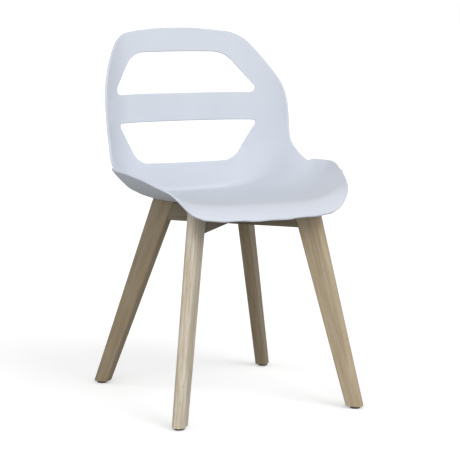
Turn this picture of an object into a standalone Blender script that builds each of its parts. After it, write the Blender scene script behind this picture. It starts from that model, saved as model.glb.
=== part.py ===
"""Dining chair: a one-piece moulded shell on a crossed timber base with four splayed legs.

Metres, +Z up.  The sitter faces -Y, +X is on the right of someone facing the back rest.
While the pieces are made, the point where the two beams cross is at X = Y = 0; the last step
moves the whole chair so that the middle of its footprint box is over the origin.
"""
import math

import bpy
import bmesh
from mathutils import Matrix, Vector

# ----------------------------------------------------------------------------- clearances
GAP = 0.0003             # between pieces that touch
THREAD_GAP = 0.0003      # around a screw, nail or dowel in its bore
CUT_PAST = 0.01          # how far a cutter runs past the face it opens

# ----------------------------------------------------------------------------- shell
WALL = 0.005             # moulded wall
SEAT_HEIGHT = 0.447      # top of the seat where the front lip starts to fall
SEAT_FALL = 0.040        # fall of the seat floor to the rear, per unit of length
SEAT_FRONT = 0.236       # front edge ahead of the beam crossing, on the middle line
FRONT_BOW = 0.020        # how far the front edge curves back at BOW_HALF_WIDTH
BOW_HALF_WIDTH = 0.180
LIP_LENGTH = 0.055       # length of the rounded front lip, front to rear
LIP_DROP = 0.030         # fall of that lip
LIP_FADE = (0.165, 0.215)  # half widths between which the lip fades into the wings

WING_POWER = 4.6         # how late, going outwards, the seat turns up into its wings
# Rim of the seat wings: distance behind the crossing, half width, height over the seat floor
WINGS = ((-0.236, 0.194, 0.021), (-0.210, 0.1955, 0.024), (-0.185, 0.2010, 0.030),
         (-0.147, 0.216, 0.042), (-0.096, 0.233, 0.057), (-0.055, 0.245, 0.0660),
         (-0.015, 0.2525, 0.0705), (0.025, 0.2465, 0.0715), (0.044, 0.2387, 0.0715),
         (0.060, 0.2315, 0.0720),
         (0.090, 0.2240, 0.079), (0.125, 0.2210, 0.087), (0.200, 0.2200, 0.105))
WING_RIM_LEAD = 0.01     # how far ahead of the end of the lip the rim starts to follow WINGS
WING_RIM_END = 0.05      # behind the crossing, where the rim leaves WINGS for the back rest
FRONT_CORNER = ((0.168, 0.2165), (0.189, 0.2045))  # half width, distance ahead of the crossing

BACK_HEIGHT = 0.355      # top edge of the back rest over SEAT_HEIGHT
TOTAL_HEIGHT = SEAT_HEIGHT + BACK_HEIGHT
BACK_LEAN = 0.165        # tangent of the lean of the back rest
BACK_FOOT = 0.2021       # where the back rest line meets the seat floor, behind the crossing
BACK_DISH = 0.1050       # how far the back rest wraps forward at BACK_HALF_WIDTH
BACK_HALF_WIDTH = 0.220
BACK_POWER = 3.5
FLARE = 0.036            # how much further forward the foot of the back rest comes at the rim
FLARE_POWER = 3.0
FLARE_HEIGHT = 0.025     # how slowly that fades, going up
FOLD_MIDDLE = 0.010      # size of the rounded fold between seat and back, middle
FOLD_EDGE = 0.020        # the same at the rim
FOLD_HALF_WIDTH = 0.2310  # half width of the shell on the fold
# Rim of the back rest, waist to top: half width, distance below the top edge
BACK_RIM = ((0.2190, 0.255), (0.2190, 0.205), (0.2185, 0.165), (0.2135, 0.130), (0.2015, 0.099),
            (0.1865, 0.070), (0.170, 0.043), (0.152, 0.0225), (0.124, 0.0095), (0.068, 0.0025))

# Openings of the back rest, from the top edge down
TOP_BAND = 0.054         # height of the band over the upper opening
UPPER_HEIGHT = 0.0945    # height of the upper opening
CROSSBAR = 0.063         # height of the bar between the openings
LOWER_HEIGHT = 0.0945    # height of the lower opening
UPPER_TOP_HALF, UPPER_TOP_RADIUS = 0.114, 0.055
UPPER_LOW_HALF, UPPER_LOW_RADIUS = 0.180, 0.011
LOWER_TOP_HALF, LOWER_TOP_RADIUS = 0.1705, 0.006
LOWER_LOW_HALF, LOWER_LOW_RADIUS = 0.117, 0.045
OPENING_BOW = 0.0050     # how far the long outer edge of each opening bows
OPENING_STEP = 0.028     # longest straight piece of an opening's outline
CORNER_STEPS = 6         # straight pieces in each rounded corner of an opening

CELL = 0.0175            # mesh cell of the shell across
RUN_CELL = 0.0157        # mesh cell of the shell along seat and back
FOLD_CELL = 0.0062       # the same within FOLD_REACH of the fold
FOLD_REACH = 0.034

# ----------------------------------------------------------------------------- mounting points
BOLT_RADIUS_FROM_CENTRE = 0.080
INSERT_DIAMETER = 0.009
INSERT_LENGTH = 0.0085
INSERT_COVER = 0.003     # least plastic over an insert
BOSS_DIAMETER = 0.022
BOSS_HEIGHT = INSERT_LENGTH + INSERT_COVER - WALL   # under the shell at the lowest boss
SPACER_DIAMETER = 0.020
SPACER_THICKNESS = 0.002
BOLT_DIAMETER = 0.006
BOLT_HEAD_DIAMETER = 0.010
BOLT_HEAD_HEIGHT = 0.005
BOLT_EDGE = 0.0006
SOCKET_ACROSS = 0.005
SOCKET_DEPTH = 0.0025
WASHER_DIAMETER = 0.0125
WASHER_THICKNESS = 0.0012
COUNTERBORE_DEPTH = 0.010

# ----------------------------------------------------------------------------- base
DIAGONAL = math.radians(42.5)   # beam direction, from the Y axis
BEAM_HEIGHT = 0.040
BEAM_THICKNESS = 0.026
BEAM_EDGE = 0.0015
LEG_THICKNESS = 0.0264
LEG_WIDTH_TOP = 0.0555   # in the plane of the splay, at the top end
LEG_WIDTH_FOOT = 0.0345
LEG_TO_SHELL = 0.0018    # least space between the leg tops and the shell
LEG_OUTER_ROUND = 0.0105
LEG_INNER_ROUND = 0.0025
FRONT_FOOT, REAR_FOOT = 0.3035, 0.3035   # centre of each foot from the crossing
FRONT_TOP, REAR_TOP = 0.1888, 0.1403     # centre of each leg at its top end

DOWEL_DIAMETER = 0.008
DOWEL_LENGTH = 0.038
DOWEL_SPACING = 0.018
LAP_SCREW_DIAMETER = 0.004
LAP_SCREW_HEAD = 0.008
LAP_SCREW_LENGTH = 0.028

GLIDE_DIAMETER = 0.022
GLIDE_HEIGHT = 0.0045
GLIDE_EDGE = 0.0014
NAIL_DIAMETER = 0.0026
NAIL_LENGTH = 0.022
NAIL_IN_GLIDE = 0.0022
NAIL_POINT = 0.003

ROUND_SIDES = 20
PIN_SIDES = 12

CORNERS = (("front_left", -1, -1), ("front_right", 1, -1),
           ("rear_left", -1, 1), ("rear_right", 1, 1))

# name: colour, roughness, metallic
FINISHES = {
    "white_polypropylene": ((0.78, 0.81, 0.86, 1.0), 0.42, 0.0),
    "limed_beech": ((0.45, 0.37, 0.26, 1.0), 0.62, 0.0),
    "beech_dowel": ((0.62, 0.46, 0.28, 1.0), 0.60, 0.0),
    "grey_nylon": ((0.10, 0.09, 0.08, 1.0), 0.50, 0.0),
    "black_rubber": ((0.02, 0.02, 0.02, 1.0), 0.75, 0.0),
    "zinc_steel": ((0.62, 0.63, 0.65, 1.0), 0.35, 1.0),
    "brass": ((0.70, 0.52, 0.22, 1.0), 0.35, 1.0),
}


# ----------------------------------------------------------------------------- scene helpers
def clear_scene():
    for obj in list(bpy.data.objects):
        bpy.data.objects.remove(obj, do_unlink=True)


def finish(name):
    material = bpy.data.materials.get(name)
    if material:
        return material
    colour, roughness, metallic = FINISHES[name]
    material = bpy.data.materials.new(name)
    material.use_nodes = True
    shader = material.node_tree.nodes["Principled BSDF"]
    shader.inputs["Base Color"].default_value = colour
    shader.inputs["Roughness"].default_value = roughness
    shader.inputs["Metallic"].default_value = metallic
    material.diffuse_color = colour
    return material


def add_object(name, mesh, finish_name=None, place=None):
    obj = bpy.data.objects.new(name, mesh)
    bpy.context.scene.collection.objects.link(obj)
    if place is not None:
        obj.matrix_world = place
    if finish_name:
        mesh.materials.append(finish(finish_name))
    return obj


def make_cutter(obj):
    obj.hide_render = True
    obj.display_type = "WIRE"
    return obj


def shade(obj):
    obj.data.shade_smooth()
    obj.data.set_sharp_from_angle(angle=math.radians(35))
    return obj


def mesh_from(bm, name):
    bmesh.ops.recalc_face_normals(bm, faces=bm.faces)
    mesh = bpy.data.meshes.new(name)
    bm.to_mesh(mesh)
    bm.free()
    return mesh


def boolean(target, cutter, operation="DIFFERENCE"):
    modifier = target.modifiers.new(cutter.name, "BOOLEAN")
    modifier.operation = operation
    modifier.solver = "EXACT"
    modifier.object = cutter


def evaluated_mesh(obj):
    bpy.context.view_layer.update()
    depsgraph = bpy.context.evaluated_depsgraph_get()
    return bpy.data.meshes.new_from_object(obj.evaluated_get(depsgraph))


# ----------------------------------------------------------------------------- solid helpers
def turned(name, profile, place, sides=ROUND_SIDES):
    """Solid of revolution about local Z.  profile: (radius, height) pairs, a closed outline."""
    bm = bmesh.new()
    rings = []
    for radius, height in profile:
        if radius == 0.0:
            rings.append([bm.verts.new((0.0, 0.0, height))])
            continue
        turn = [2.0 * math.pi * k / sides for k in range(sides)]
        rings.append([bm.verts.new((radius * math.cos(a), radius * math.sin(a), height))
                      for a in turn])
    pairs = list(zip(rings, rings[1:]))
    if profile[0][0] > 0.0:
        pairs.append((rings[-1], rings[0]))
    for first, second in pairs:
        for k in range(sides):
            corners = [first[k % len(first)], first[(k + 1) % len(first)],
                       second[(k + 1) % len(second)], second[k % len(second)]]
            unique = list(dict.fromkeys(corners))
            if len(unique) > 2:
                bm.faces.new(unique)
    return add_object(name, mesh_from(bm, name), place=place)


def rod(name, radius, low, high, place, sides=PIN_SIDES):
    return turned(name, ((0.0, low), (radius, low), (radius, high), (0.0, high)), place, sides)


def drill(name, radius, low, high, place, sides=PIN_SIDES):
    return make_cutter(rod(name, radius, low, high, place, sides))


def prism(name, outline, low, high, place=None):
    """Outline in local XY, extruded along local Z from low to high."""
    bm = bmesh.new()
    face = bm.faces.new([bm.verts.new((x, y, low)) for x, y in outline])
    swept = bmesh.ops.extrude_face_region(bm, geom=[face])
    for item in swept["geom"]:
        if isinstance(item, bmesh.types.BMVert):
            item.co.z = high
    return add_object(name, mesh_from(bm, name), place=place)


def smoothstep(low, high, value):
    t = min(1.0, max(0.0, (value - low) / (high - low)))
    return t * t * (3.0 - 2.0 * t)


def soft_ramp(value, size):
    """0 well below zero, value itself well above it, and a parabola in between."""
    if value <= -size:
        return 0.0
    if value >= size:
        return value
    return (value + size) ** 2 / (4.0 * size)


def curve_through(points, steps):
    """Smooth line through points that start and end on X = 0, square to it at both ends."""
    ends = [Vector((-points[k][0], points[k][1])) for k in (1, -2)]
    knots = [ends[0], *[Vector(p) for p in points], ends[1]]
    line = []
    for a, b, c, d in zip(knots, knots[1:], knots[2:], knots[3:]):
        for k in range(steps):
            t = k / steps
            line.append(0.5 * (2.0 * b + (c - a) * t + (2.0 * a - 5.0 * b + 4.0 * c - d) * t * t
                               + (3.0 * b - a - 3.0 * c + d) * t ** 3))
    line.append(knots[-2])
    return line


def rounded_outline(corners, steps):
    """Closed outline of (x, y, radius) corners, each rounded by its own radius."""
    outline = []
    count = len(corners)
    for k, (x, y, radius) in enumerate(corners):
        here = Vector((x, y))
        back = (Vector(corners[k - 1][:2]) - here).normalized()
        ahead = (Vector(corners[(k + 1) % count][:2]) - here).normalized()
        if radius == 0.0:
            outline.append(here)
            continue
        half = back.angle(ahead) / 2.0
        centre = here + (back + ahead).normalized() * (radius / math.sin(half))
        start = here + back * (radius / math.tan(half)) - centre
        end = here + ahead * (radius / math.tan(half)) - centre
        sweep = start.angle_signed(end)
        for j in range(steps + 1):
            outline.append(centre + Matrix.Rotation(-sweep * j / steps, 2) @ start)
    return outline


# ----------------------------------------------------------------------------- shell surface
def front_edge(x):
    return -SEAT_FRONT + FRONT_BOW * (x / BOW_HALF_WIDTH) ** 2


def seat_floor(y):
    return SEAT_HEIGHT - SEAT_FALL * (y + SEAT_FRONT - LIP_LENGTH)


def wing(y, column):
    """Half width (column 1) or height over the seat floor (column 2) of the rim at y."""
    last = len(WINGS) - 1
    k = 0
    while k < last - 1 and WINGS[k + 1][0] < y:
        k += 1
    low, high = WINGS[k], WINGS[k + 1]
    before, after = WINGS[max(k - 1, 0)], WINGS[min(k + 2, last)]
    span = high[0] - low[0]
    t = min(1.0, max(0.0, (y - low[0]) / span))
    start = (high[column] - before[column]) / (high[0] - before[0]) * span
    end = (after[column] - low[column]) / (after[0] - low[0]) * span
    return ((2.0 * t ** 3 - 3.0 * t ** 2 + 1.0) * low[column] + (t ** 3 - 2.0 * t ** 2 + t) * start
            + (3.0 * t ** 2 - 2.0 * t ** 3) * high[column] + (t ** 3 - t ** 2) * end)


def seat_surface(x, y):
    wings = wing(y, 2) * (abs(x) / wing(y, 1)) ** WING_POWER
    into_lip = max(0.0, LIP_LENGTH - (y - front_edge(x)))
    radius = (LIP_LENGTH ** 2 + LIP_DROP ** 2) / (2.0 * LIP_DROP)
    fall = radius - math.sqrt(radius ** 2 - min(into_lip, LIP_LENGTH) ** 2)
    return seat_floor(y) + wings - fall * (1.0 - smoothstep(*LIP_FADE, abs(x)))


def back_surface(x, z):
    """Y of the front face of the back rest; further out than its rim it stays level."""
    wrap = BACK_DISH * (min(abs(x), FOLD_HALF_WIDTH) / BACK_HALF_WIDTH) ** BACK_POWER
    return BACK_FOOT + BACK_LEAN * (z - seat_floor(BACK_FOOT)) - wrap


def flare(x):
    return FLARE * min(abs(x) / FOLD_HALF_WIDTH, 1.0) ** FLARE_POWER


def fold_line(x):
    """Point (y, z) where the seat and back surfaces would meet in a sharp fold."""
    y = BACK_FOOT
    for _ in range(30):
        y = back_surface(x, seat_surface(x, y)) - flare(x)
    return y, seat_surface(x, y)


def shell_point(x, run):
    """Upper face of the shell at x; run is the distance from the fold, + up the back."""
    fold_y, fold_z = fold_line(x)
    size = FOLD_MIDDLE + (FOLD_EDGE - FOLD_MIDDLE) * (abs(x) / FOLD_HALF_WIDTH) ** 2
    up = soft_ramp(run, size) / math.hypot(1.0, BACK_LEAN)
    y = fold_y - soft_ramp(-run, size)
    faded = flare(x) * (1.0 - math.exp(-up / FLARE_HEIGHT))
    return Vector((x, y + up * BACK_LEAN + faded, seat_surface(x, y) + up))


def shell_normal(x, run, step=0.0005):
    across = shell_point(x + step, run) - shell_point(x - step, run)
    along = shell_point(x, run + step) - shell_point(x, run - step)
    return across.cross(along).normalized()


def run_up(x, z):
    return (z - fold_line(x)[1]) * math.hypot(1.0, BACK_LEAN)


def run_out(x, y):
    return y - fold_line(x)[0]


def underside(x, y):
    return shell_point(x, run_out(x, y)).z - WALL


# ----------------------------------------------------------------------------- shell
def rim_pattern():
    """Closed rim in flat pattern coordinates (x, run)."""
    half = [(0.0, run_out(0.0, front_edge(0.0)))]
    half += [(x, run_out(x, front_edge(x))) for x in (0.05, 0.10, 0.14)]
    half += [(x, run_out(x, -ahead)) for x, ahead in FRONT_CORNER]
    start = LIP_LENGTH - SEAT_FRONT - WING_RIM_LEAD
    half += [(x, run_out(x, y)) for y, x, _ in WINGS if start < y < WING_RIM_END]
    half.append((FOLD_HALF_WIDTH, 0.0))
    back = [(x, run_up(x, TOTAL_HEIGHT - below)) for x, below in BACK_RIM]
    half += [(x, run) for x, run in back if run > FOLD_EDGE / 2.0]
    half.append((0.0, run_up(0.0, TOTAL_HEIGHT)))
    line = curve_through(half, 4)
    return line + [Vector((-p.x, p.y)) for p in reversed(line[1:-1])]


def opening_pattern(top, low, top_half, top_radius, low_half, low_radius, top_bow, low_bow):
    """Closed outline of an opening in the back rest, in flat pattern coordinates."""
    right = [(low_half, low, low_radius), (top_half, top, top_radius)]
    left = [(-x, z, radius) for x, z, radius in reversed(right)]
    outline = rounded_outline(right + left, CORNER_STEPS)
    pattern = []
    for a, b in zip(outline, outline[1:] + outline[:1]):
        pieces = max(1, round((b - a).length / OPENING_STEP))
        for k in range(pieces):
            p = a.lerp(b, k / pieces)
            flat = 1.0 - min(1.0, abs(p.x) / max(top_half, low_half)) ** 2
            share = (p.y - low) / (top - low)
            z = p.y + flat * (top_bow * share - low_bow * (1.0 - share))
            pattern.append((p.x, run_up(p.x, z)))
    return pattern


def pattern_lines(low, high, coarse, fine, fine_reach):
    """Grid lines from low to high, close together within fine_reach of zero."""
    lines = [low]
    while lines[-1] < high:
        step = fine if abs(lines[-1] + fine / 2.0) < fine_reach else coarse
        lines.append(lines[-1] + step)
    return lines


def flat_shell_mesh():
    """Flat pattern of the shell with its openings, as a plate from Z = -WALL to Z = 0."""
    rim = rim_pattern()
    runs = [p[1] for p in rim]
    widest = max(p[0] for p in rim)
    columns = pattern_lines(CELL / 2.0, widest + CUT_PAST, CELL, CELL, 0.0)
    xs = [-x for x in reversed(columns)] + columns
    rows = pattern_lines(min(runs) - RUN_CELL / 2.0, max(runs) + CUT_PAST, RUN_CELL, FOLD_CELL,
                         FOLD_REACH)
    bm = bmesh.new()
    grid = [[bm.verts.new((x, run, 0.0)) for x in xs] for run in rows]
    for row, above in zip(grid, grid[1:]):
        for k in range(len(xs) - 1):
            bm.faces.new((row[k], row[k + 1], above[k + 1], above[k]))
    swept = bmesh.ops.extrude_face_region(bm, geom=list(bm.faces))
    for item in swept["geom"]:
        if isinstance(item, bmesh.types.BMVert):
            item.co.z = -WALL
    plate = add_object("flat_plate", mesh_from(bm, "flat_plate"))

    upper_top = TOTAL_HEIGHT - TOP_BAND
    upper_low = upper_top - UPPER_HEIGHT
    lower_top = upper_low - CROSSBAR
    lower_low = lower_top - LOWER_HEIGHT
    trims = [prism("flat_rim", rim, -2.0 * WALL, WALL)]
    trims.append(prism("flat_upper", opening_pattern(
        upper_top - OPENING_BOW, upper_low, UPPER_TOP_HALF, UPPER_TOP_RADIUS,
        UPPER_LOW_HALF, UPPER_LOW_RADIUS, OPENING_BOW, 0.0), -2.0 * WALL, WALL))
    trims.append(prism("flat_lower", opening_pattern(
        lower_top, lower_low + OPENING_BOW, LOWER_TOP_HALF, LOWER_TOP_RADIUS,
        LOWER_LOW_HALF, LOWER_LOW_RADIUS, 0.0, OPENING_BOW), -2.0 * WALL, WALL))
    boolean(plate, trims[0], "INTERSECT")
    boolean(plate, trims[1])
    boolean(plate, trims[2])
    mesh = evaluated_mesh(plate)
    for obj in [plate, *trims]:
        bpy.data.objects.remove(obj, do_unlink=True)
    return mesh


def make_shell():
    mesh = flat_shell_mesh()
    bm = bmesh.new()
    bm.from_mesh(mesh)
    bmesh.ops.remove_doubles(bm, verts=bm.verts, dist=0.0002)
    bmesh.ops.triangulate(bm, faces=[f for f in bm.faces if len(f.verts) > 4])
    for vert in bm.verts:
        x, run, depth = vert.co
        vert.co = shell_point(x, run) + shell_normal(x, run) * depth
    bmesh.ops.recalc_face_normals(bm, faces=bm.faces)
    bm.to_mesh(mesh)
    bm.free()
    shell = add_object("shell", mesh, "white_polypropylene")
    for name, x, y in bolt_places():
        root = underside(x, y)
        boss = make_cutter(rod("boss_" + name, BOSS_DIAMETER / 2.0, boss_face(), root + WALL * 0.6,
                               Matrix.Translation((x, y, 0.0)), ROUND_SIDES))
        boolean(shell, boss, "UNION")
    for name, x, y in bolt_places():
        hole = drill("insert_hole_" + name, INSERT_DIAMETER / 2.0 + GAP, boss_face() - CUT_PAST,
                     insert_low() + INSERT_LENGTH + GAP, Matrix.Translation((x, y, 0.0)))
        boolean(shell, hole)
    return shade(shell)


# ----------------------------------------------------------------------------- shared places
def direction(side, end):
    """Unit vector from the crossing to a leg; side -1 is left, end -1 is front."""
    return Vector((side * math.sin(DIAGONAL), end * math.cos(DIAGONAL), 0.0))


def diagonal_frame(side, end):
    """Local X along the diagonal to that corner, local Z up."""
    along = direction(side, end)
    frame = Matrix.Identity(4)
    frame.col[0][:3] = along
    frame.col[1][:3] = Vector((0.0, 0.0, 1.0)).cross(along)
    return frame


def bolt_places():
    return [(name, *(direction(side, end) * BOLT_RADIUS_FROM_CENTRE).xy)
            for name, side, end in CORNERS]


def boss_face():
    return min(underside(x, y) for _, x, y in bolt_places()) - BOSS_HEIGHT


def insert_low():
    return boss_face() + GAP


def beam_top():
    return boss_face() - SPACER_THICKNESS - 2.0 * GAP


def beam_low():
    return beam_top() - BEAM_HEIGHT


def leg_top():
    """All four legs end at one height, just under the lowest shell wall over any of them."""
    reaches = [(end, centre + share * LEG_WIDTH_TOP / 2.0)
               for end, centre in ((-1, FRONT_TOP), (1, REAR_TOP)) for share in (-1.0, 0.0, 1.0)]
    return min(underside(*(direction(1, end) * reach).xy) for end, reach in reaches) - LEG_TO_SHELL


def leg_low():
    return GLIDE_HEIGHT + GAP


def leg_section(end, z):
    """Centre distance from the crossing and width of a leg at height z."""
    top, foot = (FRONT_TOP, FRONT_FOOT) if end < 0 else (REAR_TOP, REAR_FOOT)
    share = z / leg_top()
    return foot + (top - foot) * share, LEG_WIDTH_FOOT + (LEG_WIDTH_TOP - LEG_WIDTH_FOOT) * share


def leg_inner(end, z):
    centre, width = leg_section(end, z)
    return centre - width / 2.0


# ----------------------------------------------------------------------------- base pieces
def side_panel(name, corners, thickness, place, rounds):
    """Board drawn in local XZ, centred on local Y, with the edges of chosen sides rounded.

    rounds: number of a side of the outline -> (radius, segments)."""
    bm = bmesh.new()
    loops = []
    for y in (-thickness / 2.0, thickness / 2.0):
        loops.append([bm.verts.new((s, y, z)) for s, z in corners])
    bm.faces.new(loops[0])
    bm.faces.new(list(reversed(loops[1])))
    sides = list(zip(corners, corners[1:] + corners[:1]))
    for k in range(len(corners)):
        ahead = (k + 1) % len(corners)
        bm.faces.new((loops[0][k], loops[1][k], loops[1][ahead], loops[0][ahead]))
    bmesh.ops.recalc_face_normals(bm, faces=bm.faces)
    for k, (radius, segments) in rounds.items():
        edges = [e for e in bm.edges if runs_along(e, *sides[k])]
        bmesh.ops.bevel(bm, geom=edges, offset=radius, offset_type="OFFSET", segments=segments,
                        profile=0.5, affect="EDGES", clamp_overlap=True)
    return add_object(name, mesh_from(bm, name), "limed_beech", place)


def runs_along(edge, start, end, near=1e-6):
    """True for an edge that lies on one broad face and follows the side from start to end."""
    first, second = (vert.co for vert in edge.verts)
    if abs(first.y - second.y) > near:
        return False
    along = (Vector(end) - Vector(start)).normalized()
    offsets = [Vector((p.x, p.z)) - Vector(start) for p in (first, second)]
    return all(abs(p.x * along.y - p.y * along.x) < near for p in offsets)


def make_leg(name, side, end):
    low, high = leg_low(), leg_top()
    centre_low, width_low = leg_section(end, low)
    centre_high, width_high = leg_section(end, high)
    corners = ((centre_low + width_low / 2.0, low), (centre_high + width_high / 2.0, high),
               (centre_high - width_high / 2.0, high), (centre_low - width_low / 2.0, low))
    place = diagonal_frame(side, end)
    leg = side_panel("leg_" + name, corners, LEG_THICKNESS, place,
                     {0: (LEG_OUTER_ROUND, 4), 2: (LEG_INNER_ROUND, 2)})
    for level, hole in zip(("lower", "upper"), dowel_frames(side, end)):
        boolean(leg, drill("leg_bore_%s_%s" % (level, name), DOWEL_DIAMETER / 2.0 + THREAD_GAP,
                           -DOWEL_LENGTH / 2.0 - GAP, DOWEL_LENGTH / 2.0 + GAP, hole))
    boolean(leg, drill("nail_bore_" + name, NAIL_DIAMETER / 2.0 + THREAD_GAP, -CUT_PAST,
                       nail_top() + GAP, foot_frame(side, end)))
    return shade(leg)


def dowel_frames(side, end):
    """Frames with local Z along the beam, centred on the joint face, lower dowel first."""
    frames = []
    middle = beam_low() + BEAM_HEIGHT / 2.0
    for offset in (-0.5, 0.5):
        z = middle + offset * DOWEL_SPACING
        reach = leg_inner(end, z) - GAP / 2.0
        frame = diagonal_frame(side, end) @ Matrix.Translation((reach, 0.0, z))
        frames.append(frame @ Matrix.Rotation(math.radians(90), 4, "Y"))
    return frames


def make_beam(name, front_side):
    """Beam from the front corner on front_side to the opposite rear corner."""
    low, high = beam_low(), beam_top()
    corners = ((leg_inner(-1, low) - GAP, low), (leg_inner(-1, high) - GAP, high),
               (-(leg_inner(1, high) - GAP), high), (-(leg_inner(1, low) - GAP), low))
    place = diagonal_frame(front_side, -1)
    beam = side_panel(name, corners, BEAM_THICKNESS, place, {1: (BEAM_EDGE, 2), 3: (BEAM_EDGE, 2)})
    # Half lap: the front right beam keeps its upper half at the crossing, the other its lower
    middle = (low + high) / 2.0
    if front_side > 0:
        span = (low - CUT_PAST, middle + GAP / 2.0)
    else:
        span = (middle - GAP / 2.0, high + CUT_PAST)
    reach = BEAM_THICKNESS + CUT_PAST
    half = BEAM_THICKNESS / 2.0 + GAP
    outline = ((-reach, -half), (reach, -half), (reach, half), (-reach, half))
    boolean(beam, make_cutter(prism("lap_" + name, outline, *span, diagonal_frame(-front_side, -1))))
    for side, end in ((front_side, -1), (-front_side, 1)):
        corner = "%s_%s" % (name, "front" if end < 0 else "rear")
        for level, hole in zip(("lower", "upper"), dowel_frames(side, end)):
            boolean(beam, drill("beam_bore_%s_%s" % (level, corner),
                                DOWEL_DIAMETER / 2.0 + THREAD_GAP,
                                -DOWEL_LENGTH / 2.0 - GAP, DOWEL_LENGTH / 2.0 + GAP, hole))
        boolean(beam, bolt_bore("bolt_bore_" + corner, side, end))
    boolean(beam, lap_screw("lap_bore_" + name, THREAD_GAP))
    return shade(beam)


def bolt_bore(name, side, end):
    """Stepped cutter for a bolt's clearance hole and the counterbore under it."""
    x, y = (direction(side, end) * BOLT_RADIUS_FROM_CENTRE).xy
    low, high = beam_low() - CUT_PAST, beam_top() + CUT_PAST
    bore = BOLT_DIAMETER / 2.0 + THREAD_GAP
    counterbore = WASHER_DIAMETER / 2.0 + 2.0 * GAP
    step = beam_low() + COUNTERBORE_DEPTH
    profile = ((0.0, low), (counterbore, low), (counterbore, step), (bore, step), (bore, high),
               (0.0, high))
    return make_cutter(turned(name, profile, Matrix.Translation((x, y, 0.0))))


def lap_screw(name, growth):
    """Countersunk wood screw up through the crossing, or its bore when growth is given."""
    low = beam_low() + (0.0 if growth else GAP)
    head = LAP_SCREW_HEAD / 2.0 + growth
    shank = LAP_SCREW_DIAMETER / 2.0 + growth
    cone = low + (head - shank)
    tip = low + LAP_SCREW_LENGTH + growth
    profile = [(0.0, low), (head, low), (shank, cone), (shank, tip - shank), (0.0, tip)]
    if growth:
        profile[0:1] = [(0.0, low - CUT_PAST), (head, low - CUT_PAST)]
    screw = turned(name, profile, Matrix.Identity(4), PIN_SIDES)
    if growth:
        return make_cutter(screw)
    screw.data.materials.append(finish("zinc_steel"))
    return shade(screw)


def dress(obj, finish_name):
    obj.data.materials.append(finish(finish_name))
    return shade(obj)


def make_dowels(name, side, end):
    chamfer = DOWEL_DIAMETER / 8.0
    radius, half = DOWEL_DIAMETER / 2.0, DOWEL_LENGTH / 2.0
    profile = ((0.0, -half), (radius - chamfer, -half), (radius, -half + chamfer),
               (radius, half - chamfer), (radius - chamfer, half), (0.0, half))
    return [dress(turned("dowel_%s_%s" % (level, name), profile, frame, PIN_SIDES), "beech_dowel")
            for level, frame in zip(("lower", "upper"), dowel_frames(side, end))]


def make_fixing(name, side, end):
    """Bolt, washer, rubber spacer and threaded insert of one mounting point."""
    x, y = (direction(side, end) * BOLT_RADIUS_FROM_CENTRE).xy
    line = Matrix.Translation((x, y, 0.0))
    seat = beam_low() + COUNTERBORE_DEPTH
    washer_high = seat - GAP
    washer_low = washer_high - WASHER_THICKNESS
    head_high = washer_low - GAP
    head_low = head_high - BOLT_HEAD_HEIGHT
    tip = insert_low() + INSERT_LENGTH - GAP
    shank, head, edge = BOLT_DIAMETER / 2.0, BOLT_HEAD_DIAMETER / 2.0, BOLT_EDGE
    bolt = turned("bolt_" + name, ((0.0, head_low), (head - edge, head_low), (head, head_low + edge),
                                   (head, head_high), (shank, head_high), (shank, tip - edge),
                                   (shank - edge, tip), (0.0, tip)), line)
    corner = SOCKET_ACROSS / math.sqrt(3.0)
    hexagon = [(corner * math.cos(math.radians(60 * k)), corner * math.sin(math.radians(60 * k)))
               for k in range(6)]
    boolean(bolt, make_cutter(prism("socket_" + name, hexagon, head_low - CUT_PAST,
                                    head_low + SOCKET_DEPTH, line)))
    dress(bolt, "zinc_steel")
    bore = shank + THREAD_GAP
    rings = (("washer_", WASHER_DIAMETER / 2.0, bore, washer_low, washer_high, "zinc_steel"),
             ("spacer_", SPACER_DIAMETER / 2.0, bore, beam_top() + GAP,
              beam_top() + GAP + SPACER_THICKNESS, "black_rubber"),
             ("insert_", INSERT_DIAMETER / 2.0, bore, insert_low(), insert_low() + INSERT_LENGTH,
              "brass"))
    for prefix, outer, inner, low, high, finish_name in rings:
        ring = turned(prefix + name, ((inner, low), (outer, low), (outer, high), (inner, high)), line)
        dress(ring, finish_name)


def foot_frame(side, end):
    reach = leg_section(end, leg_low())[0]
    return Matrix.Translation(direction(side, end) * reach)


def nail_low():
    return GLIDE_HEIGHT - NAIL_IN_GLIDE


def nail_top():
    return nail_low() + NAIL_LENGTH


def make_glide(name, side, end):
    place = foot_frame(side, end)
    radius, edge = GLIDE_DIAMETER / 2.0, GLIDE_EDGE
    hole = NAIL_DIAMETER / 2.0 + THREAD_GAP
    profile = ((0.0, 0.0), (radius - 2.0 * edge, 0.0), (radius - 0.4 * edge, edge),
               (radius, 2.2 * edge), (radius - 0.3 * edge, GLIDE_HEIGHT), (hole, GLIDE_HEIGHT),
               (hole, nail_low() - GAP), (0.0, nail_low() - GAP))
    dress(turned("glide_" + name, profile, place), "grey_nylon")
    pin = NAIL_DIAMETER / 2.0
    nail = turned("glide_nail_" + name, ((0.0, nail_low()), (pin, nail_low()),
                                         (pin, nail_top() - NAIL_POINT), (0.0, nail_top())),
                  place, PIN_SIDES)
    dress(nail, "zinc_steel")


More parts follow.
